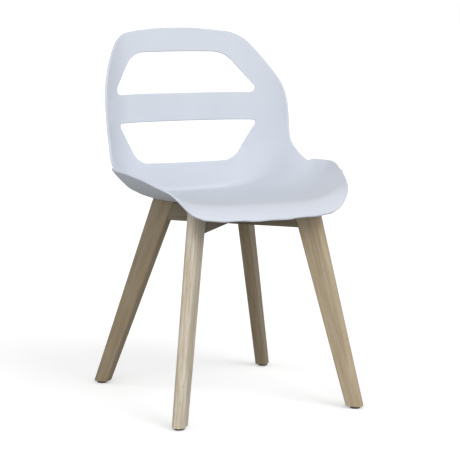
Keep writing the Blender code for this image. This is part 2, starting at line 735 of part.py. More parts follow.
# ----------------------------------------------------------------------------- assembly
def centre_on_footprint(objects):
    """Put every piece under one empty and move it so that the box stands on the origin."""
    root = bpy.data.objects.new("chair", None)
    bpy.context.scene.collection.objects.link(root)
    bpy.context.view_layer.update()
    depsgraph = bpy.context.evaluated_depsgraph_get()
    points = []
    for obj in objects:
        if not obj.hide_render:
            solid = obj.evaluated_get(depsgraph)
            points += [solid.matrix_world @ v.co for v in solid.data.vertices]
        obj.parent = root
    lows = [min(p[k] for p in points) for k in range(3)]
    highs = [max(p[k] for p in points) for k in range(3)]
    root.location = (-(lows[0] + highs[0]) / 2.0, -(lows[1] + highs[1]) / 2.0, -lows[2])
    bpy.context.view_layer.update()


def main():
    clear_scene()
    make_shell()
    make_beam("beam_front_right", 1)
    make_beam("beam_front_left", -1)
    lap_screw("lap_screw", 0.0)
    for name, side, end in CORNERS:
        make_leg(name, side, end)
        make_dowels(name, side, end)
        make_fixing(name, side, end)
        make_glide(name, side, end)
    centre_on_footprint(list(bpy.data.objects))


main()
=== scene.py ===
"""Looks of the dining chair: a white moulded shell on a crossed base of limed beech.

Metres, +Z up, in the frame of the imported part: the sitter faces -Y, the glides stand on Z = 0.
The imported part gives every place. The coarse shell, legs, beams, glides and fasteners are
replaced with finely modelled ones, every piece gets a procedural finish, and a plain studio with
a pale floor stands round them.
"""
import logging
import math
from contextlib import contextmanager
from dataclasses import dataclass, field
from enum import Enum
from typing import Callable, Iterator, Sequence

import bmesh
import bpy
import numpy as np
from mathutils import Matrix, Vector
from mathutils.geometry import delaunay_2d_cdt
from mathutils.kdtree import KDTree


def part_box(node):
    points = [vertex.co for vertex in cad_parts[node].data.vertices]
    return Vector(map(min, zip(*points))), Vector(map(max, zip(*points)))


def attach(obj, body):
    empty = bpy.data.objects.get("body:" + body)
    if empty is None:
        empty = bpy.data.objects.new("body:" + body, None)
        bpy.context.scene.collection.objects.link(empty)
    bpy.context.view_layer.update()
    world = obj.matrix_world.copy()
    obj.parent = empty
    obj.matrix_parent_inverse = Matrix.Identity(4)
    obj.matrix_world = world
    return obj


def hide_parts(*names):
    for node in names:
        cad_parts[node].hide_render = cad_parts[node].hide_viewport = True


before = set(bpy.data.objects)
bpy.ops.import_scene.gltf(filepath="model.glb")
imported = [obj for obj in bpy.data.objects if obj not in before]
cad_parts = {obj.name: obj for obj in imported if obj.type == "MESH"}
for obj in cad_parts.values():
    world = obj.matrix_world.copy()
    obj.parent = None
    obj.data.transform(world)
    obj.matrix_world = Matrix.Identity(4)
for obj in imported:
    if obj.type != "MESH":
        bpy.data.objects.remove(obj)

log = logging.getLogger("chair")

BODY = "root"
GAP = 0.0003            # clearance between pieces that touch
OVERCUT = 0.01          # how far a cutting tool runs past the face that it leaves
TOUCH = 1e-6            # two heights closer than this are the same
WHITE = (1.0, 1.0, 1.0, 1.0)
UP = Vector((0.0, 0.0, 1.0))


# ------------------------------------------------------------------------------ the bench
class Element(Enum):
    """Kinds of mesh element that can be picked in edit mode."""

    EDGE = "EDGE"
    FACE = "FACE"


class Join(Enum):
    """Ways in which a second solid changes a piece."""

    CUT = "DIFFERENCE"
    WELD = "UNION"


class Workpiece:
    """One mesh object on the bench, with the operators that shape it."""

    def __init__(self, name: str, obj: bpy.types.Object) -> None:
        """Takes an object onto the bench.

        Args:
            name: name of the finished piece.
            obj: the mesh object.
        """
        self.obj = obj
        obj.name = name
        obj.data.name = name

    @classmethod
    def block(cls, name: str, low: Sequence[float], high: Sequence[float]) -> "Workpiece":
        """Adds a rectangular block.

        Args:
            name: name of the piece.
            low: lowest corner.
            high: highest corner.

        Returns:
            The block, with its place in its mesh.
        """
        low, high = Vector(low), Vector(high)
        bpy.ops.object.select_all(action="DESELECT")
        bpy.ops.mesh.primitive_cube_add(size=1.0, location=(low + high) / 2.0, scale=high - low)
        return cls(name, bpy.context.active_object).settle()

    @classmethod
    def cylinder(cls, name: str, radius: float, low: float, high: float,
                 sides: int = 48) -> "Workpiece":
        """Adds an upright cylinder round the Z axis.

        Args:
            name: name of the piece.
            radius: its radius, to the corners.
            low: height of its underside.
            high: height of its top.
            sides: number of sides.

        Returns:
            The cylinder, with its place in its mesh.
        """
        bpy.ops.object.select_all(action="DESELECT")
        bpy.ops.mesh.primitive_cylinder_add(
            vertices=sides, radius=radius, depth=high - low,
            location=(0.0, 0.0, (low + high) / 2.0))
        return cls(name, bpy.context.active_object).settle()

    @classmethod
    def sheet(cls, name: str, points: Sequence[Sequence[float]],
              faces: Sequence[Sequence[int]]) -> "Workpiece":
        """Lays out a sheet whose outline no primitive has.

        Args:
            name: name of the piece.
            points: places of its vertices.
            faces: vertex numbers of each face.

        Returns:
            The sheet.
        """
        mesh = bpy.data.meshes.new(name)
        mesh.from_pydata([tuple(p) for p in points], [], [tuple(f) for f in faces])
        obj = bpy.data.objects.new(name, mesh)
        bpy.context.scene.collection.objects.link(obj)
        return cls(name, obj)

    def activate(self) -> None:
        """Makes this the only selected object, and the active one."""
        bpy.ops.object.select_all(action="DESELECT")
        self.obj.select_set(True)
        bpy.context.view_layer.objects.active = self.obj

    def settle(self, place: Matrix | None = None) -> "Workpiece":
        """Puts the piece in its place and writes that place into its mesh.

        Args:
            place: transform to apply first, if any.

        Returns:
            The same piece.
        """
        self.activate()
        if place is not None:
            self.obj.matrix_world = place @ self.obj.matrix_world
        bpy.ops.object.transform_apply(location=True, rotation=True, scale=True)
        return self

    @contextmanager
    def editing(self) -> Iterator[None]:
        """Opens the piece in edit mode with nothing selected, and closes it again."""
        self.activate()
        bpy.ops.object.mode_set(mode="EDIT")
        bpy.ops.mesh.select_all(action="DESELECT")
        yield
        bpy.ops.object.mode_set(mode="OBJECT")

    def pick(self, kind: Element, test: Callable[[object], bool]) -> int:
        """Selects, in edit mode, the elements that pass a test.

        Args:
            kind: kind of element.
            test: says whether one is wanted.

        Returns:
            How many were selected.
        """
        bpy.ops.mesh.select_mode(type=kind.value)
        bpy.ops.mesh.select_all(action="DESELECT")
        mesh = bmesh.from_edit_mesh(self.obj.data)
        items = mesh.edges if kind is Element.EDGE else mesh.faces
        wanted = [item for item in items if test(item)]
        for item in wanted:
            item.select_set(True)
        bmesh.update_edit_mesh(self.obj.data)
        return len(wanted)

    def pick_top(self) -> None:
        """Selects, in edit mode, the faces that look up."""
        self.pick(Element.FACE, lambda face: face.normal.z > 0.9)

    def extrude(self, rise: float, grow: float = 1.0, height: float = 0.0) -> None:
        """Draws the selected faces straight up, in edit mode, and scales the new ones level.

        Args:
            rise: how far up.
            grow: scale of the new faces round the Z axis.
            height: height that the scaling leaves alone.
        """
        bpy.ops.mesh.extrude_region_move(TRANSFORM_OT_translate={"value": (0.0, 0.0, rise)})
        bpy.ops.transform.resize(value=(grow, grow, 1.0), center_override=(0.0, 0.0, height))

    def ease_level(self, height: float, width: float, segments: int) -> None:
        """Rounds the edges that lie at a height.

        Args:
            height: the height.
            width: radius of the round.
            segments: number of flats in it.
        """
        self.ease(lambda edge: all(abs(v.co.z - height) < TOUCH for v in edge.verts),
                  width, segments)

    def ease(self, test: Callable[[object], bool], width: float, segments: int) -> None:
        """Rounds the edges that pass a test.

        Args:
            test: says whether an edge is rounded.
            width: radius of the round.
            segments: number of flats in it.
        """
        with self.editing():
            if self.pick(Element.EDGE, test):
                bpy.ops.mesh.bevel(offset=width, offset_type="OFFSET", segments=segments,
                                   profile=0.5, affect="EDGES", clamp_overlap=True)

    def modify(self, kind: str, **settings: object) -> None:
        """Adds a modifier and applies it.

        Args:
            kind: type of the modifier.
            settings: values of its properties.
        """
        self.activate()
        modifier = self.obj.modifiers.new(kind.title(), kind)
        for key, value in settings.items():
            setattr(modifier, key, value)
        bpy.ops.object.modifier_apply(modifier=modifier.name)

    def combine(self, tool: "Workpiece", how: Join) -> None:
        """Cuts another solid away from this one, or welds it on. The other one is used up.

        Args:
            tool: the other solid.
            how: cut or weld.
        """
        self.modify("BOOLEAN", operation=how.value, solver="MANIFOLD", object=tool.obj)
        bpy.data.objects.remove(tool.obj, do_unlink=True)

    def bore(self, radius: float, low: float, high: float, place: Matrix, sides: int = 48) -> None:
        """Drills a round hole along Z of a place.

        Args:
            radius: radius of the hole.
            low: where it starts.
            high: where it ends.
            place: frame of the hole.
            sides: number of sides.
        """
        self.combine(Workpiece.cylinder("drill", radius, low, high, sides).settle(place), Join.CUT)

    def smooth(self, degrees: float = 32.0, flats: bool = True) -> None:
        """Shades the piece smooth up to an angle.

        Args:
            degrees: edges sharper than this stay sharp.
            flats: keep broad flat faces flat beside their rounds.
        """
        self.activate()
        bpy.ops.object.shade_smooth_by_angle(angle=math.radians(degrees))
        if flats:
            self.modify("WEIGHTED_NORMAL", keep_sharp=True, weight=80)

    def deliver(self, finish: "Finish", slot: str, *nodes: str) -> None:
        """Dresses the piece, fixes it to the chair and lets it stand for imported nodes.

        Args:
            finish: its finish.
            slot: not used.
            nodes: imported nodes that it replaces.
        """
        self.obj.data.materials.clear()
        self.obj.data.materials.append(finish.material())
        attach(self.obj, BODY)
        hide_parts(*nodes)
        log.info("%s: %d faces, for %s", self.obj.name, len(self.obj.data.polygons),
                 ", ".join(nodes))


# ------------------------------------------------------------------------------ places
def upright(x: float, y: float, z: float = 0.0) -> Matrix:
    """Frame that stands level at a place."""
    return Matrix.Translation((x, y, z))


def turned(origin: Vector, axes: Sequence[Vector]) -> Matrix:
    """Frame at an origin with the given X, Y and Z axes."""
    place = Matrix.Translation(origin)
    for column, axis in enumerate(axes):
        place.col[column][:3] = axis
    return place


def toward(azimuth: float, elevation: float) -> Vector:
    """Direction seen at an azimuth from straight ahead and an elevation, in degrees."""
    turn, rise = math.radians(azimuth), math.radians(elevation)
    level = math.cos(rise)
    return Vector((math.sin(turn) * level, -math.cos(turn) * level, math.sin(rise)))


# ------------------------------------------------------------------------------ finishes
NOISE_SPAN = (0.3, 0.7)     # what a noise pattern's factor mostly stays within


class Recipe:
    """A material's nodes, added and joined by name."""

    def __init__(self, name: str) -> None:
        """Starts a material with one principled shader.

        Args:
            name: name of the material.
        """
        self.material = bpy.data.materials.new(name)
        self.material.use_nodes = True
        self.tree = self.material.node_tree
        self.shader = self.tree.nodes["Principled BSDF"]

    def add(self, kind: str, inputs: dict[str, object] | None = None,
            **settings: object) -> bpy.types.Node:
        """Adds one node.

        Args:
            kind: type of the node, without its ShaderNode prefix.
            inputs: socket name -> value, or the output socket that feeds it.
            settings: values of its properties.

        Returns:
            The node.
        """
        node = self.tree.nodes.new("ShaderNode" + kind)
        for key, value in settings.items():
            setattr(node, key, value)
        for key, value in (inputs or {}).items():
            self.feed(node.inputs[key], value)
        return node

    def feed(self, socket: bpy.types.NodeSocket, value: object) -> None:
        """Sets a socket to a value, or joins it to an output socket."""
        if isinstance(value, bpy.types.NodeSocket):
            self.tree.links.new(value, socket)
        else:
            socket.default_value = value

    def ramp(self, source: bpy.types.NodeSocket,
             stops: Sequence[tuple[float, Sequence[float]]]) -> bpy.types.NodeSocket:
        """Turns a factor into colours.

        Args:
            source: the factor.
            stops: (position, colour) pairs in order.

        Returns:
            The colour output.
        """
        node = self.add("ValToRGB", {"Fac": source})
        elements = node.color_ramp.elements
        while len(elements) < len(stops):
            elements.new(0.5)
        for element, (position, colour) in zip(elements, stops):
            element.position = position
            element.color = (*colour, 1.0)
        return node.outputs["Color"]

    def mix(self, factor: object, first: object, second: object,
            blend: str = "MIX") -> bpy.types.NodeSocket:
        """Mixes two colours.

        Args:
            factor: share of the second, a number or a socket.
            first: colour or socket.
            second: colour or socket.
            blend: how they are mixed.

        Returns:
            The colour output.
        """
        node = self.add("Mix", data_type="RGBA", blend_type=blend)
        for number, value in ((0, factor), (6, first), (7, second)):
            self.feed(node.inputs[number], value)
        return node.outputs[2]

    def span(self, source: bpy.types.NodeSocket, low: float, high: float,
             start: float = 0.0, stop: float = 1.0) -> bpy.types.NodeSocket:
        """Maps a factor from [start, stop] to [low, high], held at both ends."""
        node = self.add("MapRange", {"Value": source, "From Min": start, "From Max": stop,
                                     "To Min": low, "To Max": high})
        return node.outputs["Result"]

    def noise(self, where: bpy.types.NodeSocket, scale: float, detail: float = 3.0,
              rough: float = 0.55, distortion: float = 0.0) -> bpy.types.NodeSocket:
        """Adds a noise pattern and returns its factor."""
        node = self.add("TexNoise", {"Vector": where, "Scale": scale, "Detail": detail,
                                     "Roughness": rough, "Distortion": distortion})
        return node.outputs["Fac"]

    def relief(self, height: bpy.types.NodeSocket, strength: float, depth: float,
               under: bpy.types.NodeSocket | None = None) -> bpy.types.NodeSocket:
        """Adds a bump, on top of another if one is given, and returns its normal."""
        inputs = {"Height": height, "Strength": strength, "Distance": depth}
        if under is not None:
            inputs["Normal"] = under
        return self.add("Bump", inputs).outputs["Normal"]

    def surface(self, **inputs: object) -> None:
        """Sets or feeds sockets of the shader, named with underscores for spaces."""
        for key, value in inputs.items():
            self.feed(self.shader.inputs[key.replace("_", " ")], value)


@dataclass(frozen=True)
class Finish:
    """What every finish has: a name, a colour and a roughness."""

    name: str
    colour: tuple[float, float, float]
    roughness: float

    def material(self) -> bpy.types.Material:
        """Makes the finish's material, or finds it again."""
        made = bpy.data.materials.get(self.name)
        if made is not None and made.get("chair_finish"):
            return made
        recipe = Recipe(self.name)
        self.paint(recipe, recipe.add("TexCoord").outputs["Object"])
        recipe.material["chair_finish"] = True
        recipe.material.diffuse_color = (*self.colour, 1.0)
        return recipe.material

    def paint(self, recipe: Recipe, where: bpy.types.NodeSocket) -> None:
        """Adds the finish's own nodes.

        Args:
            recipe: the material being made.
            where: object coordinates.
        """
        raise NotImplementedError

    def shade(self, factor: float) -> tuple[float, float, float]:
        """The finish's colour, lighter or darker by a factor."""
        return tuple(min(1.0, c * factor) for c in self.colour)

    def two_tone(self, recipe: Recipe, pattern: bpy.types.NodeSocket, dark: float,
                 light: float) -> bpy.types.NodeSocket:
        """The finish's colour, from darker to lighter as a noise pattern goes."""
        low, high = NOISE_SPAN
        return recipe.ramp(pattern, ((low, self.shade(dark)), (high, self.shade(light))))


@dataclass(frozen=True)
class Moulding(Finish):
    """Moulded plastic or rubber with a fine spark-eroded texture."""

    grain: float = 1500.0
    depth: float = 0.00006
    cloud: float = 9.0
    variation: float = 0.02
    sheen: float = 0.04
    strength: float = 0.35
    specular: float = 0.45

    def paint(self, recipe: Recipe, where: bpy.types.NodeSocket) -> None:
        """Adds clouded colour, uneven sheen and the texture of the mould."""
        clouds = recipe.noise(where, self.cloud, 4.0)
        patches = recipe.noise(where, self.cloud * 6.0, 3.0)
        texture = recipe.noise(where, self.grain, 2.0, 0.5)
        recipe.surface(
            Base_Color=self.two_tone(recipe, clouds, 1.0 - self.variation, 1.0 + self.variation),
            Roughness=recipe.span(patches, self.roughness - self.sheen, self.roughness + self.sheen,
                                  *NOISE_SPAN),
            Normal=recipe.relief(texture, self.strength, self.depth),
            Specular_IOR_Level=self.specular)


@dataclass(frozen=True)
class Metal(Finish):
    """Plated or turned metal with fine marks round its surface."""

    marks: float = 900.0
    cloud: float = 240.0
    tones: tuple[float, float] = (0.86, 1.08)
    scuffs: tuple[float, float] = (-0.08, 0.12)
    strength: float = 0.25
    depth: float = 0.00003

    def paint(self, recipe: Recipe, where: bpy.types.NodeSocket) -> None:
        """Adds plating clouds, scuffs and fine marks."""
        clouds = recipe.noise(where, self.cloud, 4.0)
        marks = recipe.noise(where, self.marks, 3.0, 0.6)
        smoother, rougher = self.scuffs
        recipe.surface(
            Base_Color=self.two_tone(recipe, clouds, *self.tones),
            Roughness=recipe.span(marks, self.roughness + smoother, self.roughness + rougher,
                                  *NOISE_SPAN),
            Normal=recipe.relief(marks, self.strength, self.depth),
            Metallic=1.0)


@dataclass(frozen=True)
class Figure:
    """A noise pattern in the timber: how it is scaled along the grain, its place and its noise."""

    share: float
    offset: float
    scale: float
    detail: float
    rough: float = 0.55
    distortion: float = 0.0


@dataclass(frozen=True)
class Beech(Finish):
    """Limed beech whose grain runs along local Z of a given frame."""

    origin: tuple[float, float, float] = (0.0, 0.0, 0.0)
    turn: tuple[float, float, float] = (0.0, 0.0, 0.0)
    shift: float = 0.0
    lime: float = 0.5
    broad: Figure = Figure(0.14, 1.3, 34.0, 3.0, 0.5, 0.4)
    streaks: Figure = Figure(0.045, 2.1, 230.0, 4.0, 0.66)
    fibres: Figure = Figure(0.020, 3.7, 950.0, 3.0, 0.65)
    pores: Figure = Figure(0.045, 5.2, 1500.0, 2.0, 0.5)
    rays: Figure = Figure(0.22, 7.4, 620.0, 1.0, 0.5)
    warmth: Figure = Figure(0.08, 9.1, 26.0, 2.0)
    tones: tuple[tuple[float, float], ...] = (
        (0.30, 0.80), (0.45, 0.95), (0.56, 1.04), (0.72, 1.16))
    lime_colour: tuple[float, float, float] = (0.66, 0.63, 0.555)
    sheen: tuple[float, float] = (-0.06, 0.12)
    fibre_relief: tuple[float, float] = (0.30, 0.00012)
    pore_relief: tuple[float, float] = (0.45, 0.00015)
    specular: float = 0.5

    def paint(self, recipe: Recipe, where: bpy.types.NodeSocket) -> None:
        """Adds growth bands, broad streaks, fibres, pores, rays and the white of the lime."""
        local = recipe.add("Mapping", {"Vector": where, "Location": self.origin,
                                       "Rotation": self.turn},
                           vector_type="TEXTURE").outputs["Vector"]

        def drawn_out(share: float, offset: float) -> bpy.types.NodeSocket:
            """Coordinates in which a pattern is drawn out along the grain."""
            node = recipe.add("Mapping", {
                "Vector": local, "Scale": (1.0, 1.0, share),
                "Location": (self.shift + offset, 0.37 * self.shift - offset, 0.11 * self.shift)})
            return node.outputs["Vector"]

        bands = recipe.add("TexWave", {"Vector": drawn_out(0.10, 0.0), "Scale": 22.0,
                                       "Distortion": 9.0, "Detail": 3.0, "Detail Scale": 1.3},
                           wave_type="BANDS", bands_direction="X").outputs["Fac"]
        broad, streaks, fibres, pores, rays, warmth = (
            recipe.noise(drawn_out(f.share, f.offset), f.scale, f.detail, f.rough, f.distortion)
            for f in (self.broad, self.streaks, self.fibres, self.pores, self.rays, self.warmth))

        tone = recipe.mix(0.12, recipe.mix(0.40, broad, streaks), bands)
        body = recipe.ramp(tone, [(at, self.shade(factor)) for at, factor in self.tones])
        fibre_tone = recipe.ramp(fibres, ((0.32, (0.84, 0.83, 0.81)), (0.66, (1.04, 1.04, 1.04))))
        warm_tone = recipe.ramp(warmth, ((0.42, (1.0, 1.0, 1.0)), (0.70, (1.05, 0.97, 0.90))))
        body = recipe.mix(0.65, body, fibre_tone, "MULTIPLY")
        body = recipe.mix(0.80, body, warm_tone, "MULTIPLY")
        limed = recipe.span(streaks, 0.25 * self.lime, self.lime, 0.40, 0.66)
        for share, colour in ((limed, self.lime_colour),
                              (recipe.span(pores, 0.0, 0.55, 0.63, 0.72), self.shade(0.45)),
                              (recipe.span(rays, 0.0, 0.22, 0.66, 0.74), self.shade(1.5))):
            body = recipe.mix(share, body, (*colour, 1.0))
        smoother, rougher = self.sheen
        pits = recipe.span(pores, 1.0, 0.0, 0.60, 0.72)
        grain = recipe.relief(fibres, *self.fibre_relief)
        recipe.surface(
            Base_Color=body,
            Roughness=recipe.span(fibres, self.roughness + smoother, self.roughness + rougher,
                                  *NOISE_SPAN),
            Normal=recipe.relief(pits, *self.pore_relief, grain),
            Specular_IOR_Level=self.specular)


@dataclass(frozen=True)
class StudioFloor(Finish):
    """Pale seamless floor that throws little light back up."""

    bounce: float = 0.38
    glow: float = 0.30
    cloud: float = 1.5
    variation: float = 0.005

    def paint(self, recipe: Recipe, where: bpy.types.NodeSocket) -> None:
        """Adds a barely uneven pale colour, and a darker one for the light thrown back up."""
        pale = self.two_tone(recipe, recipe.noise(where, self.cloud, 3.0),
                             1.0 - self.variation, 1.0 + self.variation)
        seen = recipe.add("LightPath").outputs["Is Camera Ray"]
        recipe.surface(
            Base_Color=recipe.mix(seen, (self.bounce, self.bounce, self.bounce, 1.0), pale),
            Emission_Color=WHITE, Emission_Strength=recipe.span(seen, 0.0, self.glow),
            Roughness=self.roughness, Specular_IOR_Level=0.0)


SHELL_FINISH = Moulding("white_polypropylene", (0.600, 0.635, 0.700), 0.40)
GLIDE_FINISH = Moulding("grey_nylon", (0.085, 0.078, 0.068), 0.50, 1200.0, 0.00010, 60.0, 0.12)
RUBBER_FINISH = Moulding("black_rubber", (0.022, 0.022, 0.023), 0.78, 900.0, 0.00012, 80.0, 0.20)
STEEL_FINISH = Metal("zinc_steel", (0.60, 0.61, 0.63), 0.34)
BRASS_FINISH = Metal("turned_brass", (0.68, 0.50, 0.21), 0.32)
DOWEL_FINISH = Beech("raw_beech_dowel", (0.60, 0.45, 0.28), 0.6, lime=0.1)
FLOOR_FINISH = StudioFloor("pale_floor", (0.86, 0.86, 0.86), 0.9)
TIMBER_COLOUR = (0.430, 0.336, 0.200)
TIMBER_ROUGHNESS = 0.44


def beech(name: str, place: Matrix, shift: float, shade: float = 1.0, lime: float = 0.5) -> Beech:
    """Limed beech for one piece of timber.

    Args:
        name: name of the material.
        place: frame of the piece, with its grain along local Z.
        shift: moves the pattern, so that no two pieces look alike.
        shade: lighter or darker than the usual colour, which paints light and shade on the piece.
        lime: how white the streaks are; its amount per piece is partly a painted highlight.

    Returns:
        The finish.
    """
    colour = tuple(c * shade for c in TIMBER_COLOUR)
    return Beech(name, colour, TIMBER_ROUGHNESS, tuple(place.to_translation()),
                 tuple(place.to_euler()), shift, lime)


# ------------------------------------------------------------------------------ shell
def even_odd(points: np.ndarray, outline: np.ndarray) -> np.ndarray:
    """Says which points lie inside a closed outline.

    Args:
        points: (n, 2) places.
        outline: (m, 2) corners.

    Returns:
        (n,) truth values.
    """
    inside = np.zeros(len(points), bool)
    for (ax, ay), (bx, by) in zip(outline, np.roll(outline, -1, axis=0)):
        crosses = (ay > points[:, 1]) != (by > points[:, 1])
        if by != ay:
            inside ^= crosses & (points[:, 0] < (bx - ax) * (points[:, 1] - ay) / (by - ay) + ax)
    return inside


def respaced(outline: np.ndarray, spacing: float) -> np.ndarray:
    """Walks round a closed outline with even steps.

    Args:
        outline: (m, 2) corners.
        spacing: length of a step.

    Returns:
        (n, 2) points on it.
    """
    closed = np.vstack([outline, outline[:1]])
    along = np.concatenate([[0.0], np.cumsum(np.linalg.norm(np.diff(closed, axis=0), axis=1))])
    steps = np.linspace(0.0, along[-1], max(8, round(along[-1] / spacing)), endpoint=False)
    return np.stack([np.interp(steps, along, closed[:, k]) for k in range(2)], axis=1)


def curve_through(knots: Sequence[Sequence[float]], steps: int) -> np.ndarray:
    """Smooth line through knots that start and end on X = 0, square to it.

    Args:
        knots: (x, run) places.
        steps: pieces between two knots.

    Returns:
        (n, 2) points.
    """
    p = np.array([(-knots[1][0], knots[1][1]), *knots, (-knots[-2][0], knots[-2][1])], float)
    line = []
    for a, b, c, d in zip(p, p[1:], p[2:], p[3:]):
        for t in np.arange(steps) / steps:
            line.append(0.5 * (2.0 * b + (c - a) * t + (2.0 * a - 5.0 * b + 4.0 * c - d) * t * t
                               + (3.0 * b - a - 3.0 * c + d) * t ** 3))
    return np.array([*line, p[-2]])


@dataclass
class Opening:
    """One opening of the back rest: each pair is for its lower and its upper edge."""

    heights: tuple[float, float]
    half_widths: tuple[float, float]
    corner_radii: tuple[float, float]
    bows: tuple[float, float]

    def outline(self, steps: int = 14, spacing: float = 0.003) -> np.ndarray:
        """Closed outline as (x, height) points, with rounded corners and bowed long edges.

        Args:
            steps: pieces in each rounded corner.
            spacing: longest piece elsewhere.

        Returns:
            (n, 2) points.
        """
        corners = list(zip(self.half_widths, self.heights, self.corner_radii))
        corners += [(-x, z, radius) for x, z, radius in reversed(corners)]
        points = []
        for k, (x, z, radius) in enumerate(corners):
            here = Vector((x, z))
            back = (Vector(corners[k - 1][:2]) - here).normalized()
            ahead = (Vector(corners[(k + 1) % 4][:2]) - here).normalized()
            half = back.angle(ahead) / 2.0
            centre = here + (back + ahead).normalized() * (radius / math.sin(half))
            start = here + back * (radius / math.tan(half)) - centre
            sweep = start.angle_signed(here + ahead * (radius / math.tan(half)) - centre)
            points += [centre + Matrix.Rotation(-sweep * j / steps, 2) @ start
                       for j in range(steps + 1)]
        line = respaced(np.array([tuple(p) for p in points]), spacing)
        flat = 1.0 - np.minimum(1.0, np.abs(line[:, 0]) / max(self.half_widths)) ** 2
        (low, high), (low_bow, high_bow) = self.heights, self.bows
        share = (line[:, 1] - low) / (high - low)
        line[:, 1] += flat * (high_bow * share - low_bow * (1.0 - share))
        return line


@dataclass
class Shell:
    """The moulded seat and back: one curved wall with a rounded rim and two openings."""

    crossing: Vector
    wall: float = 0.005
    seat_height: float = 0.447
    seat_fall: float = 0.040
    seat_front: float = 0.236
    front_bow: float = 0.020
    bow_half_width: float = 0.180
    lip_length: float = 0.055
    lip_drop: float = 0.030
    lip_fade: tuple[float, float] = (0.165, 0.215)
    wing_power: float = 4.6
    wings: tuple[tuple[float, float, float], ...] = (
        (-0.236, 0.194, 0.021), (-0.210, 0.1955, 0.024), (-0.185, 0.2010, 0.030),
        (-0.147, 0.216, 0.042), (-0.096, 0.233, 0.057), (-0.055, 0.245, 0.0660),
        (-0.015, 0.2525, 0.0705), (0.025, 0.2465, 0.0715), (0.044, 0.2387, 0.0715),
        (0.060, 0.2315, 0.0720),
        (0.090, 0.2240, 0.079), (0.125, 0.2210, 0.087), (0.200, 0.2200, 0.105))
    front_corner: tuple[tuple[float, float], ...] = ((0.168, 0.2165), (0.189, 0.2045))
    front_knots: tuple[float, ...] = (0.05, 0.10, 0.14)
    back_height: float = 0.355
    back_lean: float = 0.165
    back_foot: float = 0.2021
    back_dish: float = 0.1050
    back_half_width: float = 0.220
    back_power: float = 3.5
    fold_middle: float = 0.010
    fold_edge: float = 0.020
    fold_half_width: float = 0.2310
    flare_size: float = 0.036
    flare_power: float = 3.0
    flare_height: float = 0.025
    back_rim: tuple[tuple[float, float], ...] = (
        (0.2190, 0.255), (0.2190, 0.205), (0.2185, 0.165), (0.2135, 0.130), (0.2015, 0.099),
        (0.1865, 0.070), (0.170, 0.043), (0.152, 0.0225), (0.124, 0.0095), (0.068, 0.0025))
    top_band: float = 0.054
    upper_height: float = 0.0945
    crossbar: float = 0.063
    lower_height: float = 0.0945
    opening_bow: float = 0.005
    boss_radius: float = 0.011
    boss_flare: float = 0.003
    insert_radius: float = 0.0048
    upper_halves: tuple[float, float] = (0.180, 0.114)
    upper_radii: tuple[float, float] = (0.011, 0.055)
    lower_halves: tuple[float, float] = (0.117, 0.1705)
    lower_radii: tuple[float, float] = (0.045, 0.006)
    wing_lead: float = 0.01
    wing_end: float = 0.05
    boss_round: float = 0.0006
    boss_sunk: float = 0.6
    edge_round: float = 0.0018
    edge_turn: float = 18.0
    edge_margin: float = 0.0018
    cell: float = 0.0042
    clear_share: float = 0.55
    rim_step: float = 0.0030
    rim_pieces: int = 24
    weld: float = 1e-7

    def floor(self, y: np.ndarray) -> np.ndarray:
        """Height of the seat floor at y."""
        return self.seat_height - self.seat_fall * (y + self.seat_front - self.lip_length)

    def wing(self, y: np.ndarray, column: int) -> np.ndarray:
        """Half width (1) or height over the floor (2) of the rim of the wings at y."""
        knots = np.array(self.wings)
        ys, values = knots[:, 0], knots[:, column]
        slopes = np.empty(len(ys))
        slopes[1:-1] = (values[2:] - values[:-2]) / (ys[2:] - ys[:-2])
        slopes[0] = (values[1] - values[0]) / (ys[1] - ys[0])
        slopes[-1] = (values[-1] - values[-2]) / (ys[-1] - ys[-2])
        k = np.searchsorted(ys[1:-1], y, side="left")
        span = ys[k + 1] - ys[k]
        t = np.clip((y - ys[k]) / span, 0.0, 1.0)
        return ((2.0 * t ** 3 - 3.0 * t ** 2 + 1.0) * values[k]
                + (t ** 3 - 2.0 * t ** 2 + t) * slopes[k] * span
                + (3.0 * t ** 2 - 2.0 * t ** 3) * values[k + 1]
                + (t ** 3 - t ** 2) * slopes[k + 1] * span)

    def front_edge(self, x: np.ndarray) -> np.ndarray:
        """Y of the front edge at x."""
        return -self.seat_front + self.front_bow * (x / self.bow_half_width) ** 2

    def seat(self, x: np.ndarray, y: np.ndarray) -> np.ndarray:
        """Height of the seat, wings and front lip at (x, y)."""
        wings = self.wing(y, 2) * (np.abs(x) / self.wing(y, 1)) ** self.wing_power
        into_lip = np.clip(self.lip_length - (y - self.front_edge(x)), 0.0, self.lip_length)
        radius = (self.lip_length ** 2 + self.lip_drop ** 2) / (2.0 * self.lip_drop)
        fall = radius - np.sqrt(radius ** 2 - into_lip ** 2)
        low, high = self.lip_fade
        t = np.clip((np.abs(x) - low) / (high - low), 0.0, 1.0)
        return self.floor(y) + wings - fall * (1.0 - t * t * (3.0 - 2.0 * t))

    def back(self, x: np.ndarray, z: np.ndarray) -> np.ndarray:
        """Y of the front face of the back rest at (x, z), held level beyond the fold's end."""
        wrap = self.back_dish * (np.minimum(np.abs(x), self.fold_half_width)
                                 / self.back_half_width) ** self.back_power
        return self.back_foot + self.back_lean * (z - self.floor(self.back_foot)) - wrap

    def flare(self, x: np.ndarray) -> np.ndarray:
        """How much further forward the foot of the back rest comes at x."""
        share = np.minimum(np.abs(x) / self.fold_half_width, 1.0)
        return self.flare_size * share ** self.flare_power

    def fold(self, x: np.ndarray) -> tuple[np.ndarray, np.ndarray]:
        """(y, z) where seat and back would meet in a sharp fold."""
        y = np.full_like(x, self.back_foot)
        for _ in range(30):
            y = self.back(x, self.seat(x, y)) - self.flare(x)
        return y, self.seat(x, y)

    def up(self, x: Sequence[float], z: Sequence[float]) -> np.ndarray:
        """Distance up the back from the fold, at height z."""
        x, z = np.asarray(x, float), np.asarray(z, float)
        return (z - self.fold(x)[1]) * math.hypot(1.0, self.back_lean)

